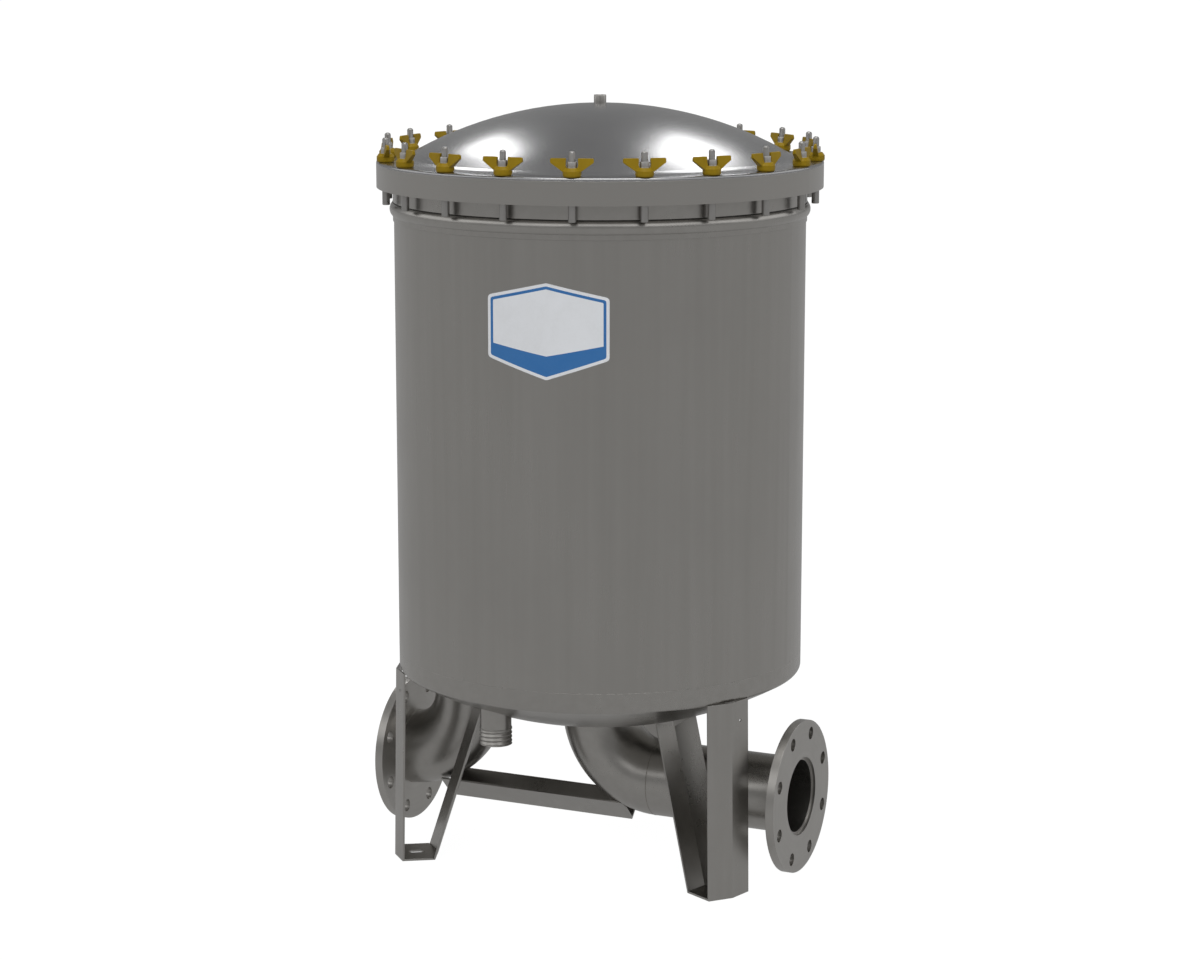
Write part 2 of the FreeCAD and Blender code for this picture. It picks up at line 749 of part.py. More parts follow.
def legs():
    # One leg is modelled at angle 0; each of its pieces is then turned into its places.
    name = "Leg"
    outer = slantedPlate(name + "Outer", True, "outerFoot", "outerFold", "outerLean", "outerTop", "outerTop")
    pinhole = newSketch(outer, name + "Pinhole", "YZ_Plane")
    circle(pinhole, "pinholeRadius", "pinholePlace", "pinholeHeight")
    cutThrough(outer, pinhole)
    top = "knuckleTop"
    inner = slantedPlate(name + "Inner", False, "innerFoot", "innerFold", "innerLean", "innerRise", top)
    foot = newBody(name + "Foot")
    plan = newSketch(foot, name + "FootPlan")
    reachOut = "outerFoot - legSheet - weldGap"
    reachIn = "innerFoot + legSheet + weldGap"
    outline(plan, [
        (reachOut, "0"),
        (reachOut + " - outerFold", "legHalfWidth"),
        (reachIn + " + innerFold", "legHalfWidth"),
        (reachIn, "0"),
        (reachIn + " + innerFold", "0 - legHalfWidth"),
        (reachOut + " - outerFold", "0 - legHalfWidth"),
    ])
    slot(plan, "slotPlace", "slotLength", "slotWidth")
    pad(foot, plan, "legSheet")
    tank = tankEnvelope(name + "Tank")
    pieces = {
        "_outer_plate": joined("Cut", "OuterPlateTrim", [outer, tank]),
        "_inner_plate": joined("Cut", "InnerPlateTrim", [inner, tank]),
        "_foot_plate": foot,
    }
    for i in range(round(number("legCount"))):
        for ending, piece in pieces.items():
            instance(piece, "leg_" + str(i + 1) + ending, turn="legAngle + " + str(i) + " * 360 / legCount")


def cradle():
    # Folded V bar, its ends cut to the two elbows that rest in it.
    body = newBody("CradleBar")
    plan = newSketch(body, "CradleProfile", "YZ_Plane", "cradleLeft")
    outline(plan, [
        ("0", "cradleBottom"),
        ("cradleShift", "cradleBottom + cradleShift"),
        ("cradleShift - sheetShift", "cradleBottom + cradleShift + sheetShift"),
        ("0", "cradleBottom + 2 * sheetShift"),
        ("sheetShift - cradleShift", "cradleBottom + cradleShift + sheetShift"),
        ("0 - cradleShift", "cradleBottom + cradleShift"),
    ])
    pad(body, plan, "cradleOutletLap - cradleLeft")
    copes = [
        quarterBend("OutletCope", "pipeRadius + weldGap", "0", True),
        quarterBend("InletCope", "pipeRadius + weldGap", "0 - inletOffset", False),
    ]
    keep(joined("Cut", "Cradle", [body, joined("MultiFuse", "CradleCopes", copes)]), "pipe_cradle")


def labelPlate():
    # Bare six-sided plate curved to the tank, made facing +X and turned into place.
    body = newBody("LabelBlank")
    face = newSketch(body, "LabelOutline", "YZ_Plane")
    outline(face, [
        ("0", "labelMiddle + labelPeak"),
        ("0 - labelHalfWidth", "labelMiddle + labelSide"),
        ("0 - labelHalfWidth", "labelMiddle - labelSide"),
        ("0", "labelMiddle - labelFoot"),
        ("labelHalfWidth", "labelMiddle - labelSide"),
        ("labelHalfWidth", "labelMiddle + labelSide"),
    ])
    blank = pad(body, face, "tankRadius + seatGap + labelThickness + cutMargin")
    corners = body.newObject("PartDesign::Fillet", "LabelCorners")
    doc.recompute()
    edges = enumerate(blank.Shape.Edges, 1)
    lengthways = ["Edge" + str(i) for i, edge in edges if abs(edge.tangentAt(0).x) > abs(edge.tangentAt(0).y)]
    corners.Base = (blank, lengthways)
    bind(corners, "Radius", "labelRound")
    skin = tube("LabelSkin", "tankRadius + seatGap + labelThickness", "tankRadius + seatGap",
                "labelPeak + labelFoot + 2 * cutMargin", "labelMiddle - labelFoot - cutMargin")
    plate = doc.addObject("Part::MultiCommon", "LabelPlate")
    plate.Shapes = [skin, body]
    keep(place(plate, turn="labelAngle"), "label_plate")


# Inside the tank

def collectorPan():
    body = newBody("Collector")
    sketch = newSketch(body, "CollectorProfile", "XZ_Plane")
    grooveHalf = "(sealSection + sealSlack)"
    grooveFloor = "pipeRadius - pipeWall - 2 * sealSection - 2 * sealSlack"
    outline(sketch, [
        ("spigotRadius - spigotWall", "spigotBottom"),
        ("spigotRadius", "spigotBottom"),
        ("spigotRadius", "sealHeight - " + grooveHalf),
        (grooveFloor, "sealHeight - " + grooveHalf),
        (grooveFloor, "sealHeight + " + grooveHalf),
        ("spigotRadius", "sealHeight + " + grooveHalf),
        ("spigotRadius", "collectorBottom"),
        ("collectorRadius", "collectorBottom"),
        ("collectorRadius", "collectorBottom + collectorHeight"),
        ("collectorRadius - collectorSheet", "collectorBottom + collectorHeight"),
        ("collectorRadius - collectorSheet", "collectorBottom + collectorSheet"),
        ("spigotRadius - spigotWall", "collectorBottom + collectorSheet"),
    ])
    revolve(body, sketch)
    keep(body, "collector_pan")


def collectorSeal():
    outside = "pipeRadius - pipeWall - sealSlack"
    bottom = "sealHeight - sealSection"
    ring = tube("Seal", outside, outside + " - 2 * sealSection", "2 * sealSection", bottom)
    keep(ring, "collector_seal")


def collectorBrackets():
    # Flat lugs on the wall, trimmed to its curve.
    lugs = []
    for i in range(round(number("bracketCount"))):
        name = "Bracket" + str(i)
        block = doc.addObject("Part::Box", name + "Block")
        bind(block, "Length", "tankRadius - bracketReach")
        bind(block, "Width", "bracketWidth")
        bind(block, "Height", "bracketThickness")
        place(block, "bracketReach", "0 - bracketWidth / 2", "collectorBottom - bracketThickness")
        inside = cylinder(name + "Inside", "tankRadius - wall - weldGap", "bracketThickness",
                          "collectorBottom - bracketThickness")
        lug = doc.addObject("Part::MultiCommon", name)
        lug.Shapes = [block, inside]
        lugs.append(place(lug, turn="bracketAngle + " + str(i) + " * 360 / bracketCount"))
    keep(joined("Compound", "Brackets", lugs), "collector_brackets")


def tubeSheet():
    # Disc on the pan, with a collar for each cartridge and a boss for the tie rod.
    body = newBody("TubeSheet")
    disc = newSketch(body, "SheetDisc", height="sheetTop - tubeSheetThickness")
    circle(disc, "collectorRadius")
    pad(body, disc, "tubeSheetThickness")
    boss = newSketch(body, "RodBoss", height="sheetTop")
    circle(boss, "bossRadius")
    pad(body, boss, "bossHeight")
    collar = newSketch(body, "CartridgeCollar", height="sheetTop")
    circle(collar, "collarletRadius", "cartridgeCircle")
    collarPad = pad(body, collar, "collarletHeight")
    hole = newSketch(body, "CartridgeHole", height="sheetTop")
    circle(hole, "collarletRadius - collarletWall", "cartridgeCircle")
    aroundAxis(body, [collarPad, cutThrough(body, hole)], "cartridgeCount")
    bore = newSketch(body, "RodBore", height="sheetTop")
    circle(bore, "rodRadius + weldGap")
    cutThrough(body, bore)
    keep(body, "tube_sheet")


def cartridges():
    # Pleated pack between two potted end caps, open at both ends.
    body = newBody("Cartridge")
    lowerCap = newSketch(body, "LowerCap")
    circle(lowerCap, "cartridgeRadius")
    pad(body, lowerCap, "capHeight")
    pleats = newSketch(body, "Pleats", height="capHeight")
    corners = []
    for i in range(2 * round(number("pleatCount"))):
        radius = "pleatInner" if i % 2 else "pleatOuter"
        angle = str(i) + " * 180 / pleatCount"
        corners.append((radius + " * cos(" + angle + ")", radius + " * sin(" + angle + ")"))
    outline(pleats, corners)
    pad(body, pleats, "cartridgeLength - 2 * capHeight")
    upperCap = newSketch(body, "UpperCap", height="cartridgeLength - capHeight")
    circle(upperCap, "cartridgeRadius")
    pad(body, upperCap, "capHeight")
    core = newSketch(body, "CartridgeCore", height="cartridgeLength")
    circle(core, "collarletRadius + coreSlack")
    cutThrough(body, core)
    for i in range(round(number("cartridgeCount"))):
        angle = str(i) + " * 360 / cartridgeCount"
        x, y = "cartridgeCircle * cos(" + angle + ")", "cartridgeCircle * sin(" + angle + ")"
        instance(body, "cartridge_" + str(i + 1), x, y, "sheetTop", angle)


def tieRod():
    foot = "collectorBottom + collectorHeight"
    keep(cylinder("TieRod", "rodRadius", "rodTop - (" + foot + ")", foot), "tie_rod")


def holdDownPlate():
    # Presses on the cartridges' upper caps; the windows lie between them.
    body = newBody("HoldDown")
    disc = newSketch(body, "HoldDownDisc", height="plateBottom")
    circle(disc, "plateRadius")
    circle(disc, "rodRadius + coreSlack")
    pad(body, disc, "plateThickness")
    window = newSketch(body, "HoldDownWindow", height="plateBottom + plateThickness")
    half = "180 / cartridgeCount"
    circle(window, "plateWindow", "windowPlace * cos(" + half + ")", "windowPlace * sin(" + half + ")")
    aroundAxis(body, [cutThrough(body, window)], "cartridgeCount")
    keep(body, "hold_down_plate")


def holdDownKnob():
    body = newBody("Knob")
    hub = newSketch(body, "KnobHub")
    circle(hub, "knobRadius")
    pad(body, hub, "knobHeight")
    lobe = newSketch(body, "KnobLobe")
    circle(lobe, "knobLobe", "knobLobePlace")
    aroundAxis(body, [pad(body, lobe, "lobeHeight")], "knobLobes")
    bore = newSketch(body, "KnobBore", height="knobHeight")
    circle(bore, "rodRadius + runningSlack")
    cutThrough(body, bore)
    keep(place(body, z="knobBottom"), "hold_down_knob")


tankWall()
tankCollar()
closureRing()
lidGasket()
studSet()
dishedBottom()
dishedLid()
ventCoupling()
wingNuts()

elbow("outlet_elbow", "0", True)
elbow("inlet_elbow", "0 - inletOffset", False)
riser("outlet_riser", "0", "outletRiserTop")
riser("inlet_riser", "0 - inletOffset", "inletRiserTop")
levelPipe("outlet_pipe", "elbowRadius", "faceDistance - pipeSetback - elbowRadius")
flange("outlet_flange", "faceDistance - flangeThickness", "90")
flange("inlet_flange", "flangeThickness - faceDistance", "-90")
drainNipple()
legs()
cradle()
labelPlate()

collectorPan()
collectorSeal()
collectorBrackets()
tubeSheet()
cartridges()
tieRod()
holdDownPlate()
holdDownKnob()

doc.recompute()

faults = [item.Label for item in doc.Objects if "Invalid" in item.State or "Error" in item.State]
for node in keptNodes:
    if node.Shape.isNull() or not node.Shape.isValid() or not node.Shape.Solids:
        faults.append(node.Label)
if faults:
    raise RuntimeError("these did not build: " + ", ".join(faults))

os.makedirs("parts", exist_ok=True)
for node in keptNodes:
    node.Shape.exportStep("parts/" + node.Label + ".step")
print(len(keptNodes), "nodes written")
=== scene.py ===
from math import cos, floor, pi, radians, sin, sqrt

import bmesh
import bpy
from mathutils import Matrix, Vector


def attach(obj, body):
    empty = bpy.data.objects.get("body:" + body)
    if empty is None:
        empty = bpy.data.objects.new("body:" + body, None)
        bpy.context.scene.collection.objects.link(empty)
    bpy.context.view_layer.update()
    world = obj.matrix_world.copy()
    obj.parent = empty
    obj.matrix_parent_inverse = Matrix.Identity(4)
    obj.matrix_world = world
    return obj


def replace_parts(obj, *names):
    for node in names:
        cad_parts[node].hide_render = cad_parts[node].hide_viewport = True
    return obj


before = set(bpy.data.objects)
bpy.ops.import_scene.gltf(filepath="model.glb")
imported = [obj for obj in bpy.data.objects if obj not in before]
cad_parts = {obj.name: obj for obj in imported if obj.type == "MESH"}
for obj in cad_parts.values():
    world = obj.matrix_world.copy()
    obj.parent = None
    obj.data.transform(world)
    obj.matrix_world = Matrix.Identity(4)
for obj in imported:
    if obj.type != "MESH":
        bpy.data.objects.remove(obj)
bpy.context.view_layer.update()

# Upright stainless cartridge filter. Metres, +Z up, the tank's axis on the origin, the outlet towards +X.
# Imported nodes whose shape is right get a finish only. Threaded, cast, bent and printed ones are built here.
# The values that a user may change stand in one dictionary beside each piece's code, in millimetres and degrees.

scene = bpy.context.scene
millimetre = 0.001


# Node helpers

def addNode(tree, kind, sockets=None, **settings):
    item = tree.nodes.new("ShaderNode" + kind)
    for key, value in settings.items():
        setattr(item, key, value)
    for key, value in (sockets or {}).items():
        if isinstance(value, bpy.types.NodeSocket):
            tree.links.new(value, item.inputs[key])
        else:
            item.inputs[key].default_value = value
    return item


def addGroup(tree, group, **sockets):
    item = tree.nodes.new("ShaderNodeGroup")
    item.node_tree = group
    for key, value in sockets.items():
        if isinstance(value, bpy.types.NodeSocket):
            tree.links.new(value, item.inputs[key])
        else:
            item.inputs[key].default_value = value
    return item


def newGroup(name, inputs, outputs):
    group = bpy.data.node_groups.new(name, "ShaderNodeTree")
    for label, kind, value in inputs:
        socket = group.interface.new_socket(name=label, in_out="INPUT", socket_type="NodeSocket" + kind)
        socket.default_value = value
    for label, kind in outputs:
        group.interface.new_socket(name=label, in_out="OUTPUT", socket_type="NodeSocket" + kind)
    return group, group.nodes.new("NodeGroupInput").outputs, group.nodes.new("NodeGroupOutput").inputs


def multiply(tree, first, second):
    return addNode(tree, "Math", {0: first, 1: second}, operation="MULTIPLY").outputs[0]


def remap(tree, value, low, high, lowest=0.0, highest=1.0):
    sockets = {"Value": value, "From Min": low, "From Max": high, "To Min": lowest, "To Max": highest}
    return addNode(tree, "MapRange", sockets).outputs["Result"]


# Shared effects

def makeMetalGrain():
    # Short scratches that run along the axis whose stretch is small.
    group, inputs, outputs = newGroup("metalGrain", [
        ("Stretch", "Vector", (1.0, 1.0, 1.0)), ("Scale", "Float", 400.0)], [
        ("Height", "Float"), ("Tone", "Float")])
    place = addNode(group, "TexCoord").outputs["Object"]
    stretched = addNode(group, "VectorMath", {0: place, 1: inputs["Stretch"]}, operation="MULTIPLY").outputs[0]
    fine = addNode(group, "TexNoise", {"Vector": stretched, "Scale": inputs["Scale"], "Detail": 3.0})
    coarseScale = multiply(group, inputs["Scale"], 0.11)
    coarse = addNode(group, "TexNoise", {"Vector": stretched, "Scale": coarseScale, "Detail": 2.0})
    group.links.new(fine.outputs["Fac"], outputs["Height"])
    group.links.new(remap(group, coarse.outputs["Fac"], 0.3, 0.7), outputs["Tone"])
    return group


def makeSmudges():
    # Wide soft clouds with a few denser spots, as handling and drying leave them.
    group, inputs, outputs = newGroup("smudges", [("Scale", "Float", 5.0)], [("Mask", "Float")])
    place = addNode(group, "TexCoord").outputs["Object"]
    wide = addNode(group, "TexNoise", {"Vector": place, "Scale": inputs["Scale"], "Detail": 4.0,
                                       "Roughness": 0.6, "Distortion": 0.6})
    spotScale = multiply(group, inputs["Scale"], 9.0)
    spots = addNode(group, "TexNoise", {"Vector": place, "Scale": spotScale, "Detail": 2.0})
    both = multiply(group, remap(group, wide.outputs["Fac"], 0.35, 0.72),
                    remap(group, spots.outputs["Fac"], 0.3, 0.7, 0.55, 1.0))
    group.links.new(both, outputs["Mask"])
    return group


def makeEdgeWear():
    # Marks the metal near its edges, broken up along them, and rounds the shading there.
    group, inputs, outputs = newGroup("edgeWear", [
        ("Radius", "Float", 0.0012), ("Break scale", "Float", 60.0)], [
        ("Mask", "Float"), ("Normal", "Vector")])
    rounded = addNode(group, "Bevel", {"Radius": inputs["Radius"]}, samples=4).outputs["Normal"]
    flat = addNode(group, "NewGeometry").outputs["Normal"]
    match = addNode(group, "VectorMath", {0: rounded, 1: flat}, operation="DOT_PRODUCT").outputs["Value"]
    place = addNode(group, "TexCoord").outputs["Object"]
    noise = addNode(group, "TexNoise", {"Vector": place, "Scale": inputs["Break scale"], "Detail": 3.0})
    broken = remap(group, noise.outputs["Fac"], 0.35, 0.65, 0.25, 1.0)
    group.links.new(multiply(group, remap(group, match, 0.985, 0.86), broken), outputs["Mask"])
    group.links.new(rounded, outputs["Normal"])
    return group


def makeTurnedLines():
    # Fine rings round an axis, as a lathe leaves them on a face.
    group, inputs, outputs = newGroup("turnedLines", [
        ("Axis point", "Vector", (0.0, 0.0, 0.0)), ("Across", "Vector", (1.0, 1.0, 0.0)),
        ("Scale", "Float", 900.0)], [
        ("Height", "Float"), ("Tone", "Float")])
    place = addNode(group, "TexCoord").outputs["Object"]
    fromAxis = addNode(group, "VectorMath", {0: place, 1: inputs["Axis point"]}, operation="SUBTRACT").outputs[0]
    across = addNode(group, "VectorMath", {0: fromAxis, 1: inputs["Across"]}, operation="MULTIPLY").outputs[0]
    distance = addNode(group, "VectorMath", {0: across}, operation="LENGTH").outputs["Value"]
    fine = addNode(group, "TexNoise", {"W": distance, "Scale": inputs["Scale"], "Detail": 1.0},
                   noise_dimensions="1D")
    coarseScale = multiply(group, inputs["Scale"], 0.12)
    coarse = addNode(group, "TexNoise", {"W": distance, "Scale": coarseScale, "Detail": 2.0},
                     noise_dimensions="1D")
    group.links.new(fine.outputs["Fac"], outputs["Height"])
    group.links.new(remap(group, coarse.outputs["Fac"], 0.3, 0.7), outputs["Tone"])
    return group


grainGroup = makeMetalGrain()
smudgeGroup = makeSmudges()
wearGroup = makeEdgeWear()
turnedGroup = makeTurnedLines()
print("effects ready")


# Finishes

def newMaterial(name):
    material = bpy.data.materials.new(name)
    material.use_nodes = True
    tree = material.node_tree
    shader = next(item for item in tree.nodes if item.type == "BSDF_PRINCIPLED")
    return material, tree, shader


def blend(tree, factor, first, second):
    item = tree.nodes.new("ShaderNodeMix")
    item.data_type = "RGBA"
    colours = [socket for socket in item.inputs if socket.type == "RGBA"]
    for socket, value in zip([item.inputs[0], *colours], [factor, first, second]):
        if isinstance(value, bpy.types.NodeSocket):
            tree.links.new(value, socket)
        else:
            socket.default_value = (*value, 1.0) if isinstance(value, tuple) else value
    return [socket for socket in item.outputs if socket.type == "RGBA"][0]


def metalFinish(name, look):
    # Metal whose tone, gloss and relief change with its grain, its smudges and its worn edges.
    material, tree, shader = newMaterial(name)
    shader.inputs["Metallic"].default_value = 1.0
    if "axisPoint" in look:
        lines = {"Axis point": look["axisPoint"], "Across": look["across"], "Scale": look["grainScale"]}
        grain = addGroup(tree, turnedGroup, **lines)
    else:
        grain = addGroup(tree, grainGroup, Stretch=look["stretch"], Scale=look["grainScale"])
    smudge = addGroup(tree, smudgeGroup, Scale=look["smudgeScale"]).outputs["Mask"]
    wear = addGroup(tree, wearGroup, **{"Radius": look["wearRadius"], "Break scale": look["wearBreak"]})
    grained = blend(tree, grain.outputs["Tone"], look["dark"], look["light"])
    clouded = blend(tree, multiply(tree, smudge, look["smudgeShare"]), grained, look["smudgeColour"])
    worn = blend(tree, multiply(tree, wear.outputs["Mask"], look["wearShare"]), clouded, look["wearColour"])
    tree.links.new(worn, shader.inputs["Base Color"])
    low, high = look["roughness"]
    gloss = remap(tree, smudge, 0.0, 1.0, low, high)
    grainGloss = remap(tree, grain.outputs["Height"], 0.3, 0.7, -look["grainGloss"], look["grainGloss"])
    total = addNode(tree, "Math", {0: gloss, 1: grainGloss}, operation="ADD", use_clamp=True).outputs[0]
    tree.links.new(total, shader.inputs["Roughness"])
    relief = addNode(tree, "Bump", {"Height": grain.outputs["Height"], "Normal": wear.outputs["Normal"],
                                    "Strength": look["bump"], "Distance": look["bumpDepth"]})
    tree.links.new(relief.outputs["Normal"], shader.inputs["Normal"])
    return material


# The look of brushed stainless. The other metals change a few of its values.
satinLook = {
    "dark": (0.378, 0.367, 0.347), "light": (0.404, 0.392, 0.373),
    "smudgeColour": (0.364, 0.352, 0.335), "smudgeShare": 0.5, "smudgeScale": 4.0,
    "wearColour": (0.58, 0.565, 0.545), "wearShare": 0.4, "wearRadius": 0.0009, "wearBreak": 40.0,
    "stretch": (1.0, 1.0, 0.03), "grainScale": 520.0, "grainGloss": 0.02,
    "roughness": (0.28, 0.34), "bump": 0.03, "bumpDepth": 0.0002,
}
# Faces fresh from the lathe are a little paler.
turnedLook = {
    **satinLook, "dark": (0.415, 0.402, 0.381), "light": (0.443, 0.43, 0.409),
    "smudgeColour": (0.4, 0.388, 0.368),
}
satinStainless = metalFinish("satinStainless", satinLook)
blastedStainless = metalFinish("blastedStainless", {
    **satinLook, "stretch": (1.0, 1.0, 1.0), "grainScale": 900.0, "smudgeScale": 9.0,
})
formedStainless = metalFinish("formedStainless", {
    **satinLook, "stretch": (1.0, 1.0, 1.0), "grainScale": 700.0, "smudgeScale": 5.0, "bump": 0.02,
})
polishedStainless = metalFinish("polishedStainless", {
    **satinLook, "dark": (0.378, 0.378, 0.382), "light": (0.396, 0.396, 0.4),
    "smudgeColour": (0.368, 0.368, 0.372), "smudgeScale": 2.5, "stretch": (1.0, 1.0, 1.0),
    "grainScale": 260.0, "roughness": (0.23, 0.26), "grainGloss": 0.005, "bump": 0.004, "wearShare": 0.3,
})
sheetStainless = metalFinish("sheetStainless", {
    **satinLook, "stretch": (1.0, 1.0, 0.05), "grainScale": 650.0, "smudgeScale": 12.0,
    "wearShare": 0.6, "roughness": (0.28, 0.36), "bump": 0.05,
})
turnedRing = metalFinish("turnedRing", {
    **turnedLook, "axisPoint": (0.0, 0.0, 0.0), "across": (1.0, 1.0, 0.0), "grainScale": 900.0, "bump": 0.04,
})
turnedFlange = metalFinish("turnedFlange", {
    **turnedLook, "axisPoint": (0.0, 0.0, 0.121), "across": (0.0, 1.0, 1.0), "grainScale": 1000.0,
    "smudgeScale": 14.0, "roughness": (0.3, 0.38), "bump": 0.1, "wearShare": 0.5,
})
brightSteel = metalFinish("brightSteel", {
    **satinLook, "dark": (0.365, 0.357, 0.344), "light": (0.39, 0.382, 0.37),
    "smudgeColour": (0.35, 0.342, 0.33), "smudgeScale": 60.0, "stretch": (1.0, 1.0, 0.15),
    "grainScale": 1500.0, "grainGloss": 0.01, "roughness": (0.36, 0.42), "bump": 0.01,
    "wearRadius": 0.0004, "wearColour": (0.52, 0.51, 0.495), "wearShare": 0.3,
})
# Near-black rough steel: painted shade for the dark line above the collar's bead, where the junction only lies
# in shade
paintedShadeSteel = metalFinish("paintedShadeSteel", {
    **satinLook, "dark": (0.035, 0.033, 0.03), "light": (0.06, 0.057, 0.052),
    "smudgeColour": (0.03, 0.028, 0.026), "smudgeScale": 60.0, "stretch": (1.0, 1.0, 1.0), "grainScale": 1600.0,
    "roughness": (0.5, 0.6), "bump": 0.1, "wearRadius": 0.0003, "wearShare": 0.1,
})
insertSteel = metalFinish("insertSteel", {
    **satinLook, "dark": (0.475, 0.461, 0.443), "light": (0.525, 0.511, 0.493),
    "smudgeColour": (0.43, 0.416, 0.402), "smudgeScale": 80.0, "stretch": (1.0, 1.0, 1.0),
    "grainScale": 1800.0, "roughness": (0.42, 0.52), "bump": 0.06,
    "wearRadius": 0.0004, "wearColour": (0.6, 0.59, 0.575),
})
weldSteel = metalFinish("weldSteel", {
    **satinLook, "dark": (0.25, 0.235, 0.215), "light": (0.35, 0.335, 0.305),
    "smudgeColour": (0.22, 0.19, 0.16), "smudgeScale": 90.0, "stretch": (1.0, 1.0, 1.0),
    "grainScale": 1600.0, "roughness": (0.34, 0.46), "bump": 0.15, "wearRadius": 0.0003,
})


def skinFinish(name, look):
    # Paint, rubber or film: a clean and a smudged tone, and the slight orange-peel of its skin.
    material, tree, shader = newMaterial(name)
    shader.inputs["Specular IOR Level"].default_value = look["specular"]
    smudge = addGroup(tree, smudgeGroup, Scale=look["smudgeScale"]).outputs["Mask"]
    tone = blend(tree, smudge, look["clean"], look["smudged"])
    if "rubbed" in look:
        wear = addGroup(tree, wearGroup, **{"Radius": look["wearRadius"], "Break scale": look["wearBreak"]})
        tone = blend(tree, multiply(tree, wear.outputs["Mask"], look["wearShare"]), tone, look["rubbed"])
    tree.links.new(tone, shader.inputs["Base Color"])
    low, high = look["roughness"]
    tree.links.new(remap(tree, smudge, 0.0, 1.0, low, high), shader.inputs["Roughness"])
    peel = addGroup(tree, grainGroup, Stretch=(1.0, 1.0, 1.0), Scale=look["peelScale"]).outputs["Height"]
    relief = addNode(tree, "Bump", {"Height": peel, "Strength": look["bump"], "Distance": look["bumpDepth"]})
    tree.links.new(relief.outputs["Normal"], shader.inputs["Normal"])
    return material


def mediaFinish(name, look):
    # Fibrous pleats between two smooth potted caps, told apart by their height, which is in metres here.
    material, tree, shader = newMaterial(name)
    place = addNode(tree, "TexCoord").outputs["Object"]
    height = addNode(tree, "SeparateXYZ", {"Vector": place}).outputs["Z"]
    lowCap, highCap = look["lowest"] + look["capHeight"], look["highest"] - look["capHeight"]
    low = remap(tree, height, lowCap, lowCap + look["capEdge"], 1.0, 0.0)
    high = remap(tree, height, highCap - look["capEdge"], highCap)
    isCap = addNode(tree, "Math", {0: low, 1: high}, operation="MAXIMUM").outputs[0]
    fibres = addGroup(tree, grainGroup, Stretch=look["fibreStretch"], Scale=look["fibreScale"])
    smudge = addGroup(tree, smudgeGroup, Scale=look["smudgeScale"]).outputs["Mask"]
    cloth = blend(tree, fibres.outputs["Tone"], look["shade"], look["fibre"])
    cap = blend(tree, smudge, look["cap"], look["capWorn"])
    tree.links.new(blend(tree, isCap, cloth, cap), shader.inputs["Base Color"])
    roughCloth, roughCap = look["roughness"]
    tree.links.new(remap(tree, isCap, 0.0, 1.0, roughCloth, roughCap), shader.inputs["Roughness"])
    relief = addNode(tree, "Bump", {"Height": fibres.outputs["Height"], "Strength": look["bump"],
                                    "Distance": look["bumpDepth"]})
    tree.links.new(relief.outputs["Normal"], shader.inputs["Normal"])
    return material


# Yellow chromate over a casting, with rubbed edges
yellowCasting = skinFinish("yellowCasting", {
    "clean": (0.26, 0.169, 0.0037), "smudged": (0.215, 0.137, 0.0022), "smudgeScale": 70.0,
    "rubbed": (0.34, 0.25, 0.03), "wearShare": 0.45, "wearRadius": 0.0009, "wearBreak": 260.0,
    "specular": 0.2, "roughness": (0.42, 0.56), "peelScale": 900.0, "bump": 0.18, "bumpDepth": 0.0002,
})
blackRubber = skinFinish("blackRubber", {
    "clean": (0.018, 0.018, 0.019), "smudged": (0.05, 0.048, 0.046), "smudgeScale": 18.0,
    "specular": 0.5, "roughness": (0.55, 0.75), "peelScale": 1400.0, "bump": 0.3, "bumpDepth": 0.0003,
})
filterMedia = mediaFinish("filterMedia", {
    "fibre": (0.78, 0.77, 0.73), "shade": (0.62, 0.61, 0.56), "fibreStretch": (1.0, 1.0, 0.35),
    "fibreScale": 1300.0, "cap": (0.16, 0.2, 0.27), "capWorn": (0.24, 0.29, 0.36), "smudgeScale": 16.0,
    "lowest": 0.352, "highest": 1.027, "capHeight": 0.015, "capEdge": 0.0004,
    "roughness": (0.85, 0.5), "bump": 0.35, "bumpDepth": 0.0005,
})
filmLook = {
    "clean": (0.725, 0.742, 0.77), "smudged": (0.675, 0.69, 0.71), "smudgeScale": 24.0,
    "specular": 0.5, "roughness": (0.3, 0.42), "peelScale": 500.0, "bump": 0.06, "bumpDepth": 0.0002,
}
paleFilm = skinFinish("paleFilm", filmLook)
blueFilm = skinFinish("blueFilm", {
    **filmLook, "clean": (0.0253, 0.141, 0.378), "smudged": (0.037, 0.155, 0.385),
})

# Nodes that this list leaves out are blasted, apart from the cartridges and the leg plates.
nodeFinish = {
    "tank_wall": satinStainless, "tank_collar": formedStainless, "dished_bottom": formedStainless,
    "lid": polishedStainless, "closure_ring": turnedRing, "lid_gasket": blackRubber,
    "outlet_flange": turnedFlange, "inlet_flange": turnedFlange, "pipe_cradle": sheetStainless,
    "collector_brackets": sheetStainless, "hold_down_plate": sheetStainless, "collector_seal": blackRubber,
    "tie_rod": brightSteel, "hold_down_knob": brightSteel,
}
for node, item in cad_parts.items():
    if node.startswith("cartridge_"):
        finish = filterMedia
    elif node.startswith("leg_"):
        finish = sheetStainless
    else:
        finish = nodeFinish.get(node, blastedStainless)
    for holder in item.material_slots:
        holder.material = finish
print("finishes ready")


# Mesh helpers. Profiles are in millimetres and the meshes in metres.

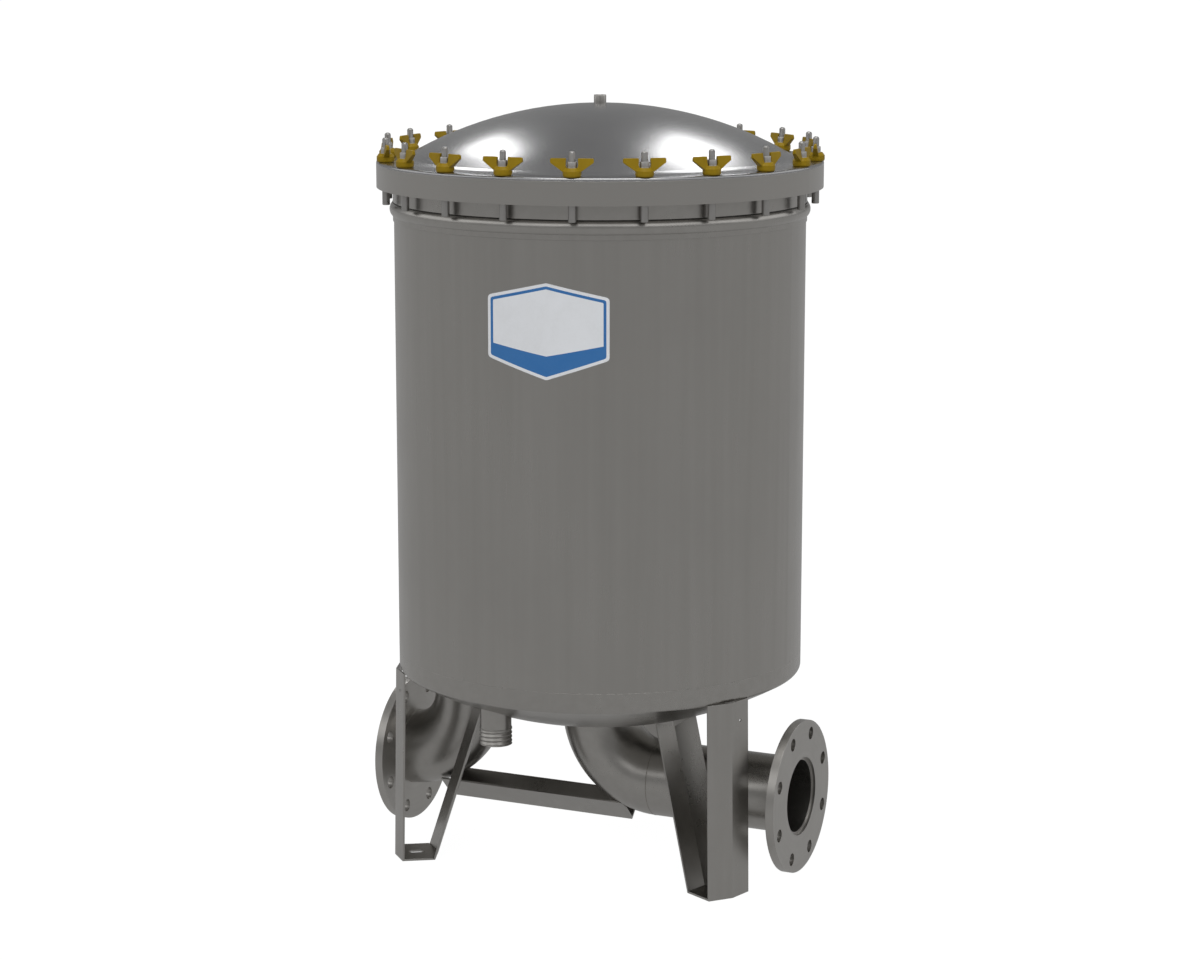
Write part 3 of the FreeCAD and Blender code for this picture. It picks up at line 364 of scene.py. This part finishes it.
def lathe(profile, steps, thread=None, closed=False):
    # Turns (radius, height) pairs about Z, with a thread where one is given.
    if thread:
        profile = fineProfile(profile, thread)
    mesh = bmesh.new()
    rings = []
    for radius, height in profile:
        count = 1 if radius < 0.001 else steps
        ring = []
        for i in range(count):
            angle = 2 * pi * i / steps
            cut = threadCut(height, angle, thread) if thread else 0.0
            reach = (radius - cut) * millimetre
            ring.append(mesh.verts.new((reach * cos(angle), reach * sin(angle), height * millimetre)))
        rings.append(ring)
    pairs = list(zip(rings, rings[1:])) + ([(rings[-1], rings[0])] if closed else [])
    for first, second in pairs:
        for i in range(steps):
            after = (i + 1) % steps
            corners = [first[i % len(first)], first[after % len(first)],
                       second[after % len(second)], second[i % len(second)]]
            face = list(dict.fromkeys(corners))
            if len(face) > 2:
                mesh.faces.new(face)
    bmesh.ops.recalc_face_normals(mesh, faces=mesh.faces)
    return mesh


def fineProfile(profile, thread):
    # Adds rows between a profile's points wherever the thread runs.
    low, high = thread["low"], thread["high"]
    rows = [profile[0]]
    for (radiusA, heightA), (radiusB, heightB) in zip(profile, profile[1:]):
        inside = min(heightA, heightB) >= low - 0.01 and max(heightA, heightB) <= high + 0.01
        turns = abs(heightB - heightA) / thread["pitch"]
        count = max(1, round(turns * thread["rows"])) if inside else 1
        for i in range(1, count + 1):
            share = i / count
            rows.append((radiusA + (radiusB - radiusA) * share, heightA + (heightB - heightA) * share))
    return rows


def threadCut(height, angle, thread):
    # How deep the groove is there. Flank is the share of the pitch that a crest's upper side takes.
    low, high, pitch, flank = thread["low"], thread["high"], thread["pitch"], thread["flank"]
    if not low - 0.01 <= height <= high + 0.01:
        return 0.0
    fade = min(1.0, (height - low) / (0.3 * pitch) + 0.05, (high - height) / (0.3 * pitch) + 0.05)
    share = (height / pitch - angle / (2 * pi)) % 1.0
    slope = share / flank if share < flank else (1.0 - share) / (1.0 - flank)
    return thread["depth"] * max(fade, 0.0) * slope


def asMesh(name, mesh, sharp=35):
    data = bpy.data.meshes.new(name)
    mesh.to_mesh(data)
    mesh.free()
    smoothMesh(data, sharp)
    return data


def smoothMesh(data, sharp):
    data.polygons.foreach_set("use_smooth", [True] * len(data.polygons))
    data.set_sharp_from_angle(angle=radians(sharp))


def addPiece(name, data, body, turn=0.0, place=(0.0, 0.0, 0.0)):
    piece = bpy.data.objects.new(name, data)
    piece.location = place
    piece.rotation_euler = (0.0, 0.0, turn)
    scene.collection.objects.link(piece)
    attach(piece, body)
    return piece


def withModifiers(data, steps):
    # Runs modifiers on a mesh and gives back the mesh that comes out.
    holder = bpy.data.objects.new("workpiece", data)
    scene.collection.objects.link(holder)
    for kind, settings in steps:
        modifier = holder.modifiers.new(kind, kind)
        for key, value in settings.items():
            setattr(modifier, key, value)
    seen = holder.evaluated_get(bpy.context.evaluated_depsgraph_get())
    result = bpy.data.meshes.new_from_object(seen)
    bpy.data.objects.remove(holder)
    return result


# Wing nuts: a cast hub with two blades, and a grey insert that the stud comes through

nutSizes = {
    "count": 20, "circle": 318.2, "seat": 1057.1,
    "hubRadius": 13.0, "hubSide": 8.2, "hubHeight": 12.6, "hubTop": 9.4,
    "span": 60.4, "gap": 16.4, "top": 25.7, "shoulder": 19.4, "root": 7.4,
    "bladeTop": 3.4, "bladeRoot": 9.0, "bladeStart": 4.0, "bladeCrotch": (16.5, 12.4, 10.5),
    "insertRadius": 6.9, "insertTop": 21.0, "insertFoot": 0.4, "insertGroove": 13.2, "bore": 4.9,
    "hubSteps": 64, "boreSteps": 48, "insertSteps": 40, "grain": 0.34, "faces": 0.22,
}


def bladeMesh(mesh, side, sizes):
    # One blade, which gets thinner from the hub to its top.
    outer, inner, start, top = sizes["span"] / 2, sizes["gap"] / 2, sizes["bladeStart"], sizes["top"]
    high, middle, low = sizes["bladeCrotch"]
    outline = [
        (start, sizes["root"]), (sizes["hubRadius"], sizes["root"]), (outer - 0.3, sizes["shoulder"]),
        (outer, sizes["shoulder"] + 0.5), (outer, top - 1.6), (outer - 0.5, top - 0.5), (outer - 1.6, top),
        (inner + 0.8, top), (inner, top - 0.8), (inner + 0.5, high), (inner - 0.6, middle), (start, low),
    ]
    walls = []
    for face in (1, -1):
        wall = []
        for reach, height in outline:
            rise = min(max((height - sizes["hubSide"]) / (top - sizes["hubSide"]), 0.0), 1.0)
            half = (sizes["bladeRoot"] + (sizes["bladeTop"] - sizes["bladeRoot"]) * rise) / 2
            point = (side * reach * millimetre, face * half * millimetre, height * millimetre)
            wall.append(mesh.verts.new(point))
        walls.append(wall)
    mesh.faces.new(walls[0])
    mesh.faces.new(list(reversed(walls[1])))
    for i in range(len(outline)):
        after = (i + 1) % len(outline)
        mesh.faces.new([walls[0][after], walls[0][i], walls[1][i], walls[1][after]])


def castNut(sizes):
    # Hub and blades are melted together on a fine grid, which leaves the fillets of a casting.
    radius, side, top = sizes["hubRadius"], sizes["hubSide"], sizes["hubHeight"]
    hub = lathe([
        (0.0, 0.0), (radius - 1.3, 0.0), (radius - 0.6, 0.7), (radius - 0.1, 2.2), (radius, 3.4),
        (radius, side), (radius - 0.5, side + 0.6), (sizes["hubTop"] + 0.3, top - 0.1),
        (sizes["hubTop"], top), (0.0, top),
    ], sizes["hubSteps"])
    for direction in (1, -1):
        bladeMesh(hub, direction, sizes)
    bmesh.ops.recalc_face_normals(hub, faces=hub.faces)
    insert = sizes["insertRadius"]
    profile = [(0.0, -2.0), (insert, -2.0), (insert, 20.0), (0.0, 20.0)]
    bore = addPlainTool(lathe(profile, sizes["boreSteps"]))
    nut = withModifiers(asMesh("nutBlank", hub), [
        ("REMESH", {"mode": "VOXEL", "voxel_size": sizes["grain"] * millimetre, "adaptivity": 0.0}),
        ("SMOOTH", {"factor": 0.5, "iterations": 2}),
        ("DECIMATE", {"ratio": sizes["faces"]}),
        ("BOOLEAN", {"operation": "DIFFERENCE", "object": bore, "solver": "EXACT"}),
    ])
    bpy.data.objects.remove(bore)
    smoothMesh(nut, 42)
    nut.materials.clear()
    nut.materials.append(yellowCasting)
    return nut


def addPlainTool(mesh):
    tool = bpy.data.objects.new("cutTool", asMesh("cutTool", mesh))
    scene.collection.objects.link(tool)
    return tool


def nutInsert(sizes):
    # A sleeve with a fine groove just above the hub and eased edges at its top.
    radius, bore, top = sizes["insertRadius"] - 0.02, sizes["bore"], sizes["insertTop"]
    foot, groove = sizes["insertFoot"], sizes["insertGroove"]
    insert = asMesh("nutInsert", lathe([
        (bore, foot), (radius, foot), (radius, groove), (radius - 0.12, groove + 0.3),
        (radius - 0.12, groove + 0.9), (radius, groove + 1.2), (radius, top - 0.7), (radius - 0.25, top - 0.2),
        (radius - 0.75, top), (bore + 0.35, top), (bore, top - 0.35)], sizes["insertSteps"], closed=True))
    insert.materials.append(insertSteel)
    return insert


nutMesh, insertMesh = castNut(nutSizes), nutInsert(nutSizes)
for i in range(nutSizes["count"]):
    angle = 2 * pi * i / nutSizes["count"]
    number = format(i + 1, "02d")
    reach = nutSizes["circle"] * millimetre
    seat = (reach * cos(angle), reach * sin(angle), nutSizes["seat"] * millimetre)
    nut = addPiece("wingNut" + number, nutMesh, "wing_nut_" + number, angle + pi / 2, seat)
    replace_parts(nut, "wing_nut_" + number)
    addPiece("nutInsert" + number, insertMesh, "wing_nut_" + number, angle + pi / 2, seat)
print("wing nuts ready,", len(nutMesh.polygons), "faces each")


# Studs: plain shank under the ring, threaded end with a domed tip above the lid

studSizes = {
    "foot": 994.6, "ringBottom": 1018.0, "top": 1092.7, "shank": 5.6, "end": 4.7, "steps": 28,
    "thread": {"low": 1072.0, "high": 1089.6, "pitch": 1.6, "depth": 0.26, "flank": 0.5, "rows": 8},
}


def studMesh(sizes):
    shank, foot, end, top, thread = (sizes[key] for key in ("shank", "foot", "end", "top", "thread"))
    profile = [
        (0.0, foot), (shank - 1.0, foot), (shank - 0.25, foot + 0.3), (shank, foot + 1.1),
        (shank, sizes["ringBottom"]), (end, sizes["ringBottom"]), (end, thread["low"]), (end, thread["high"]),
        (end - 0.35, top - 2.3), (end - 1.1, top - 1.2), (end - 2.3, top - 0.4), (end - 3.6, top - 0.05),
        (0.0, top),
    ]
    return lathe(profile, sizes["steps"], thread)


def studRing(sizes, count, circle):
    # Copies of one stud in a single mesh, one under each nut.
    one = studMesh(sizes)
    source = bpy.data.meshes.new("stud")
    one.to_mesh(source)
    one.free()
    ring = bmesh.new()
    for i in range(count):
        angle = 2 * pi * i / count
        before = len(ring.verts)
        ring.from_mesh(source)
        ring.verts.ensure_lookup_table()
        shift = Vector((circle * millimetre * cos(angle), circle * millimetre * sin(angle), 0.0))
        bmesh.ops.translate(ring, verts=ring.verts[before:], vec=shift)
    data = asMesh("closureStuds", ring, 40)
    data.materials.append(brightSteel)
    return data


studs = addPiece("closureStuds", studRing(studSizes, nutSizes["count"], nutSizes["circle"]), "vessel")
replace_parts(studs, "closure_studs")
print("studs ready,", len(studs.data.polygons), "faces")


# Vent coupling on the lid, with a thread inside its bore

ventSizes = {
    "radius": 9.1, "bore": 5.55, "bottom": 1130.0, "top": 1151.0, "steps": 56,
    "thread": {"low": 1130.02, "high": 1150.18, "pitch": 1.4, "depth": 0.45, "flank": 0.5, "rows": 8},
}


def ventMesh(sizes):
    # Two skins that share their end rings: the plain outside and the threaded bore.
    radius, bore, low, top = sizes["radius"], sizes["bore"], sizes["bottom"], sizes["top"]
    root = bore + sizes["thread"]["depth"]
    outside = lathe([(root, low), (radius, low), (radius, top - 0.9), (radius - 0.25, top - 0.3),
                     (radius - 0.8, top), (bore + 1.1, top)], sizes["steps"])
    inside = lathe([(bore + 1.1, top), (root, top - 0.8), (root, low)], sizes["steps"], sizes["thread"])
    return joinSkins(outside, inside)


def joinSkins(first, second):
    spare = bpy.data.meshes.new("secondSkin")
    second.to_mesh(spare)
    second.free()
    first.from_mesh(spare)
    bmesh.ops.remove_doubles(first, verts=first.verts, dist=0.00002)
    bmesh.ops.recalc_face_normals(first, faces=first.faces)
    return first


vent = addPiece("ventCoupling", asMesh("ventCoupling", ventMesh(ventSizes)), "lid")
vent.data.materials.append(blastedStainless)
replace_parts(vent, "vent_coupling")
print("vent ready")


# Inner leg plates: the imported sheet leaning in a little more, its top cut clear of the bottom at the fold

legSizes = {"count": 3, "angle": -27.3, "lean": 0.0225, "foldReach": 178.1, "foldHeight": 225.0,
            "cutSlope": 2.84}


def trimmedPlate(name, source, turn, sizes):
    mesh = bmesh.new()
    mesh.from_mesh(source.data)
    outwards = Vector((cos(turn), sin(turn), 0.0))
    for vert in mesh.verts:
        vert.co -= outwards * (vert.co.z * sizes["lean"])
    point = (outwards * sizes["foldReach"] + Vector((0.0, 0.0, sizes["foldHeight"]))) * millimetre
    normal = Vector((0.0, 0.0, 1.0)) - outwards * sizes["cutSlope"]
    everything = mesh.verts[:] + mesh.edges[:] + mesh.faces[:]
    cut = bmesh.ops.bisect_plane(mesh, geom=everything, plane_co=point, plane_no=normal, clear_outer=True)
    rim = [item for item in cut["geom_cut"] if isinstance(item, bmesh.types.BMEdge)]
    bmesh.ops.holes_fill(mesh, edges=rim)
    data = asMesh(name, mesh, 25)
    data.materials.clear()
    data.materials.append(sheetStainless)
    return data


for i in range(legSizes["count"]):
    turn = radians(legSizes["angle"] + 360 * i / legSizes["count"])
    node = "leg_" + str(i + 1) + "_inner_plate"
    data = trimmedPlate("legInnerPlate" + str(i + 1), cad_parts[node], turn, legSizes)
    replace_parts(addPiece(data.name, data, "vessel"), node)
print("leg plates ready")


# Drain nipple: slim neck through the bottom, then the coarse thread that the photo shows

nippleSizes = {
    "x": -61.566, "y": -230.416, "high": 275.0, "radius": 24.13, "neck": 23.03, "bore": 20.43, "steps": 96,
    "thread": {"low": 215.7, "high": 240.0, "pitch": 6.1, "depth": 1.75, "flank": 0.66, "rows": 14},
}


def nippleMesh(sizes):
    # Two skins that share their end rings: the threaded outside and the plain bore.
    radius, neck, bore, high, thread = (sizes[key] for key in ("radius", "neck", "bore", "high", "thread"))
    low, top = thread["low"], thread["high"]
    outside = lathe([(radius - 1.2, low), (radius, low + 0.02), (radius, top), (neck, top + 0.3), (neck, high)],
                    sizes["steps"], thread)
    inside = lathe([(neck, high), (bore, high), (bore, low + 0.8), (bore + 0.7, low), (radius - 1.2, low)],
                   sizes["steps"])
    return joinSkins(outside, inside)


nipplePlace = (nippleSizes["x"] * millimetre, nippleSizes["y"] * millimetre, 0.0)
nipple = addPiece("drainNipple", asMesh("drainNipple", nippleMesh(nippleSizes), 50), "vessel",
                  0.0, nipplePlace)
nipple.data.materials.append(blastedStainless)
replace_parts(nipple, "drain_nipple")
print("drain nipple ready")


# Label plate: bare pale film with a plain blue border and foot band, rolled to the wall

labelSizes = {
    "angle": -79.3, "middle": 844.7, "halfWidth": 89.1, "side": 43.8, "peak": 63.6, "foot": 72.8,
    "corner": 7.0, "rim": 4.3, "border": 4.1, "bandSide": 822.6, "bandMiddle": 805.5,
    "inner": 304.9, "outer": 305.5, "stripe": 6.0, "cornerSteps": 6,
}


def insetOutline(sizes, inset, corner):
    # The six-sided outline moved inwards, with rounded corners, as (along, height) pairs.
    corners = [(0.0, sizes["peak"]), (-sizes["halfWidth"], sizes["side"]), (-sizes["halfWidth"], -sizes["side"]),
               (0.0, -sizes["foot"]), (sizes["halfWidth"], -sizes["side"]), (sizes["halfWidth"], sizes["side"])]
    moved = []
    for i, here in enumerate(corners):
        before, after = Vector(corners[i - 1]), Vector(corners[(i + 1) % 6])
        here = Vector(here)
        into, out = (here - before).normalized(), (after - here).normalized()
        inward = (Vector((-into.y, into.x)) + Vector((-out.y, out.x))).normalized()
        share = inset / max(inward.dot(Vector((-into.y, into.x))), 0.1)
        moved.append((here + inward * share, into, out))
    outline = []
    for point, into, out in moved:
        turn = into.angle(out)
        run = corner * sqrt(max((1 - cos(turn)) / (1 + cos(turn)), 0.0))
        start, end = point - into * run, point + out * run
        for step in range(sizes["cornerSteps"] + 1):
            t = step / sizes["cornerSteps"]
            outline.append(start * (1 - t) ** 2 + point * (2 * t * (1 - t)) + end * t ** 2)
    return outline


def bandSlope(sizes):
    return (sizes["bandSide"] - sizes["bandMiddle"]) / sizes["halfWidth"]


def labelMesh(sizes):
    # Laid out flat in XZ, painted by area, then thickened and rolled round the tank's axis.
    mesh = bmesh.new()
    outlines = [insetOutline(sizes, inset, max(sizes["corner"] - inset * 0.6, 1.5))
                for inset in (0.0, sizes["rim"], sizes["rim"] + sizes["border"])]
    rings = [[mesh.verts.new((point.x, 0.0, sizes["middle"] + point.y)) for point in outline]
             for outline in outlines]
    for ring, following, paint in ((rings[0], rings[1], 0), (rings[1], rings[2], 1)):
        for i in range(len(ring)):
            after = (i + 1) % len(ring)
            face = mesh.faces.new([ring[i], ring[after], following[after], following[i]])
            face.material_index = paint
    mesh.faces.new(rings[2]).material_index = 0
    splitLabel(mesh, sizes)
    for face in mesh.faces:
        centre = face.calc_center_median()
        bandEdge = sizes["bandMiddle"] + bandSlope(sizes) * abs(centre.x)
        if centre.z < bandEdge and insideBorder(centre, sizes):
            face.material_index = 1
    skin = mesh.faces[:]
    grown = bmesh.ops.extrude_face_region(mesh, geom=skin)["geom"]
    outside = {item for item in grown if isinstance(item, bmesh.types.BMVert)}
    for vert in mesh.verts:
        radius = (sizes["outer"] if vert in outside else sizes["inner"]) * millimetre
        angle = radians(sizes["angle"]) + vert.co.x * millimetre / radius
        vert.co = (radius * cos(angle), radius * sin(angle), vert.co.z * millimetre)
    bmesh.ops.recalc_face_normals(mesh, faces=mesh.faces)
    return mesh


def insideBorder(point, sizes):
    away = abs(point.x) < sizes["halfWidth"] - sizes["rim"] - 0.5
    slope = (sizes["foot"] - sizes["side"]) / sizes["halfWidth"]
    lowest = sizes["middle"] - sizes["foot"] + slope * abs(point.x)
    return away and point.z > lowest + sizes["rim"] * sqrt(1 + slope ** 2) + 0.3


def splitLabel(mesh, sizes):
    # Cuts the flat plate into narrow stripes, so that it can follow the wall, and along the band's edge.
    def cut(point, normal):
        everything = mesh.verts[:] + mesh.edges[:] + mesh.faces[:]
        bmesh.ops.bisect_plane(mesh, geom=everything, plane_co=point, plane_no=normal)
    count = floor(sizes["halfWidth"] / sizes["stripe"])
    for i in range(-count, count + 1):
        cut((i * sizes["stripe"], 0.0, 0.0), (1.0, 0.0, 0.0))
    for side in (1, -1):
        cut((0.0, 0.0, sizes["bandMiddle"]), (-bandSlope(sizes) * side, 0.0, 1.0))


label = addPiece("labelPlate", asMesh("labelPlate", labelMesh(labelSizes), 30), "vessel")
label.data.materials.append(paleFilm)
label.data.materials.append(blueFilm)
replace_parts(label, "label_plate")
print("label ready")


# Fine weld lines: the elbow's butt seam, fillets where the pipes enter the flanges, and a near-black ring of
# painted shade that makes the collar's dark line above its bead

seamSizes = {
    "pipe": 57.15, "width": 1.3, "rise": 0.25, "sink": 0.15, "axis": 121.0, "bend": 101.6, "wobble": 0.18,
    "flangeBack": 317.8, "filletWidth": 2.4, "filletRise": 0.8,
    "beadEdge": 995.7, "collar": 306.3, "collarWidth": 2.4, "collarRise": 0.5,
    "pipeSteps": 160, "collarSteps": 360,
}


def seamMesh(name, path, sizes, finish):
    # A flat rounded bead along a closed path of (place, outward) pairs, with slight ripples.
    mesh = bmesh.new()
    rings = []
    count = len(path)
    for i in range(count):
        place, outward = path[i]
        along = (path[(i + 1) % count][0] - path[i - 1][0]).normalized()
        side = along.cross(outward).normalized()
        swell = 1.0 + sizes["wobble"] * (0.6 * sin(i * 2.4) + 0.4 * sin(i * 0.9 + 1.3))
        ring = []
        for step in range(5):
            angle = pi * step / 4
            reach = cos(angle) * sizes["width"] / 2 * swell
            lift = sin(angle) * sizes["rise"] * swell - (sizes["sink"] if step in (0, 4) else 0.0)
            ring.append(mesh.verts.new((place + side * reach + outward * lift) * millimetre))
        rings.append(ring)
    for i in range(count):
        first, second = rings[i], rings[(i + 1) % count]
        for step in range(4):
            mesh.faces.new([first[step], first[step + 1], second[step + 1], second[step]])
        mesh.faces.new([first[4], first[0], second[0], second[4]])
    bmesh.ops.recalc_face_normals(mesh, faces=mesh.faces)
    data = asMesh(name, mesh, 60)
    data.materials.append(finish)
    return data


def ringPath(centre, axis, radius, steps):
    # Points of a circle about an axis, each with the way that points outwards.
    normal = Vector(axis).normalized()
    first = normal.orthogonal().normalized()
    second = normal.cross(first)
    path = []
    for i in range(steps):
        angle = 2 * pi * i / steps
        outward = first * cos(angle) + second * sin(angle)
        path.append((Vector(centre) + outward * radius, outward))
    return path


def addSeams(sizes):
    fillet = {**sizes, "width": sizes["filletWidth"], "rise": sizes["filletRise"]}
    edge = {**sizes, "width": sizes["collarWidth"], "rise": sizes["collarRise"], "wobble": 0.0}
    pipeSeams = (("elbowPipeSeam", sizes["bend"], sizes), ("inletFlangeSeam", -sizes["flangeBack"], fillet),
                 ("outletFlangeSeam", sizes["flangeBack"], fillet))
    seams = []
    for name, x, measures in pipeSeams:
        path = ringPath((x, 0.0, sizes["axis"]), (1.0, 0.0, 0.0), sizes["pipe"], sizes["pipeSteps"])
        seams.append((name, path, measures, weldSteel))
    # The near-black ring above the bead is painted shade.
    path = ringPath((0.0, 0.0, sizes["beadEdge"]), (0.0, 0.0, 1.0), sizes["collar"], sizes["collarSteps"])
    seams.append(("beadPaintedShade", path, edge, paintedShadeSteel))
    for name, path, measures, finish in seams:
        addPiece(name, seamMesh(name, path, measures, finish), "vessel")


addSeams(seamSizes)
print("seams ready")


# Floor, light and camera

# Metres and degrees. A direction is elevation and azimuth from the lid, counted from straight ahead.
studioSizes = {
    "floor": 260.0, "floorDrop": 0.0004, "floorTone": 0.06, "floorGlow": 0.385, "backdropGlow": 0.98,
    "world": 0.28, "skyDirection": (140.0, 0.0), "skyStrength": 1.1, "skyAngle": 60.0,
    "lidHeight": 1.1, "boxDistance": 3.4,
    "leftDirection": (40.6, -22.7), "leftSize": (0.38, 1.16), "leftLean": -14.0, "leftPower": 6.8,
    "rightDirection": (46.6, 23.2), "rightSize": (0.68, 1.3), "rightLean": 14.0, "rightPower": 11.6,
    "topDirection": (105.0, 0.0), "topSize": (2.8, 2.5), "topLean": 0.0, "topPower": 44.0,
    "frontDirections": ((160.0, -106.0), (150.0, -53.0), (141.0, 0.0), (150.0, 53.0), (160.0, 106.0)),
    "frontSize": (16.0, 7.6), "frontLean": 0.0, "frontPower": 250.0, "frontDistance": 16.0,
    "cameraPlace": (1.8436, -3.9647, 1.4077), "cameraTilt": 79.203, "cameraTurn": 24.94, "lens": 88.59,
}


def floorFinish(sizes):
    # A light table: its own glow keeps the shadow as faint as in the photo. What the camera sees of it
    # is a little brighter than what it sheds, as a backdrop lit on its own is.
    material, tree, shader = newMaterial("paleFloor")
    smudge = addGroup(tree, smudgeGroup, Scale=0.8).outputs["Mask"]
    clean, smudged = sizes["floorTone"], sizes["floorTone"] * 0.96
    tree.links.new(blend(tree, smudge, (clean, clean, clean), (smudged, smudged, smudged)),
                   shader.inputs["Base Color"])
    tree.links.new(remap(tree, smudge, 0.0, 1.0, 0.7, 0.8), shader.inputs["Roughness"])
    shader.inputs["Specular IOR Level"].default_value = 0.1
    shader.inputs["Emission Color"].default_value = (1.0, 1.0, 1.0, 1.0)
    seen = addNode(tree, "LightPath").outputs["Is Camera Ray"]
    tree.links.new(remap(tree, seen, 0.0, 1.0, sizes["floorGlow"], sizes["backdropGlow"]),
                   shader.inputs["Emission Strength"])
    return material


def addFloor(sizes):
    mesh = bmesh.new()
    bmesh.ops.create_grid(mesh, x_segments=20, y_segments=20, size=sizes["floor"])
    ground = bpy.data.objects.new("paleFloor", asMesh("paleFloor", mesh))
    ground.location.z = -sizes["floorDrop"]
    ground.data.materials.append(floorFinish(sizes))
    scene.collection.objects.link(ground)


def wayTo(direction, sizes):
    # The unit vector that points in a direction of the studio.
    elevation, azimuth = radians(direction[0]), radians(direction[1])
    turn = radians(sizes["cameraTurn"])
    ahead, right = Vector((-sin(turn), cos(turn), 0.0)), Vector((cos(turn), sin(turn), 0.0))
    return (ahead * cos(azimuth) + right * sin(azimuth)) * cos(elevation) + Vector((0.0, 0.0, sin(elevation)))


def addSoftbox(name, kind, direction, distance, sizes):
    # Kind is the start of the names of its values. A positive lean turns its top end to the right.
    way = wayTo(direction, sizes)
    lamp = bpy.data.lights.new(name, "AREA")
    lamp.shape = "RECTANGLE"
    lamp.size, lamp.size_y = sizes[kind + "Size"]
    lamp.energy = sizes[kind + "Power"]
    holder = bpy.data.objects.new(name, lamp)
    holder.location = Vector((0.0, 0.0, sizes["lidHeight"])) + way * distance
    lean = Matrix.Rotation(radians(sizes[kind + "Lean"]), 3, "Z")
    holder.rotation_euler = (way.to_track_quat("Z", "Y").to_matrix() @ lean).to_euler()
    scene.collection.objects.link(holder)


def addStudio(sizes):
    addFloor(sizes)
    world = bpy.data.worlds.new("studioWorld")
    world.use_nodes = True
    background = next(item for item in world.node_tree.nodes if item.type == "BACKGROUND")
    background.inputs["Color"].default_value = (1.0, 1.0, 1.0, 1.0)
    background.inputs["Strength"].default_value = sizes["world"]
    scene.world = world
    # Soft light for paint and film alone: reflections leave it out.
    sky = bpy.data.lights.new("skySoft", "SUN")
    sky.energy = sizes["skyStrength"]
    sky.angle = radians(sizes["skyAngle"])
    holder = bpy.data.objects.new("skySoft", sky)
    holder.rotation_euler = wayTo(sizes["skyDirection"], sizes).to_track_quat("Z", "Y").to_euler()
    holder.visible_glossy = False
    scene.collection.objects.link(holder)
    for kind in ("left", "right", "top"):
        addSoftbox(kind + "Softbox", kind, sizes[kind + "Direction"], sizes["boxDistance"], sizes)
    for i, direction in enumerate(sizes["frontDirections"]):
        addSoftbox("frontSoftbox" + str(i + 1), "front", direction, sizes["frontDistance"], sizes)


def addCamera(sizes):
    lens = bpy.data.cameras.new("camera")
    lens.sensor_width = 36.0
    lens.lens = sizes["lens"]
    lens.clip_end = 600.0
    camera = bpy.data.objects.new("camera", lens)
    camera.location = sizes["cameraPlace"]
    camera.rotation_euler = (radians(sizes["cameraTilt"]), 0.0, radians(sizes["cameraTurn"]))
    scene.collection.objects.link(camera)
    scene.camera = camera


addStudio(studioSizes)
addCamera(studioSizes)
scene.view_settings.view_transform = "Standard"
print("studio ready")
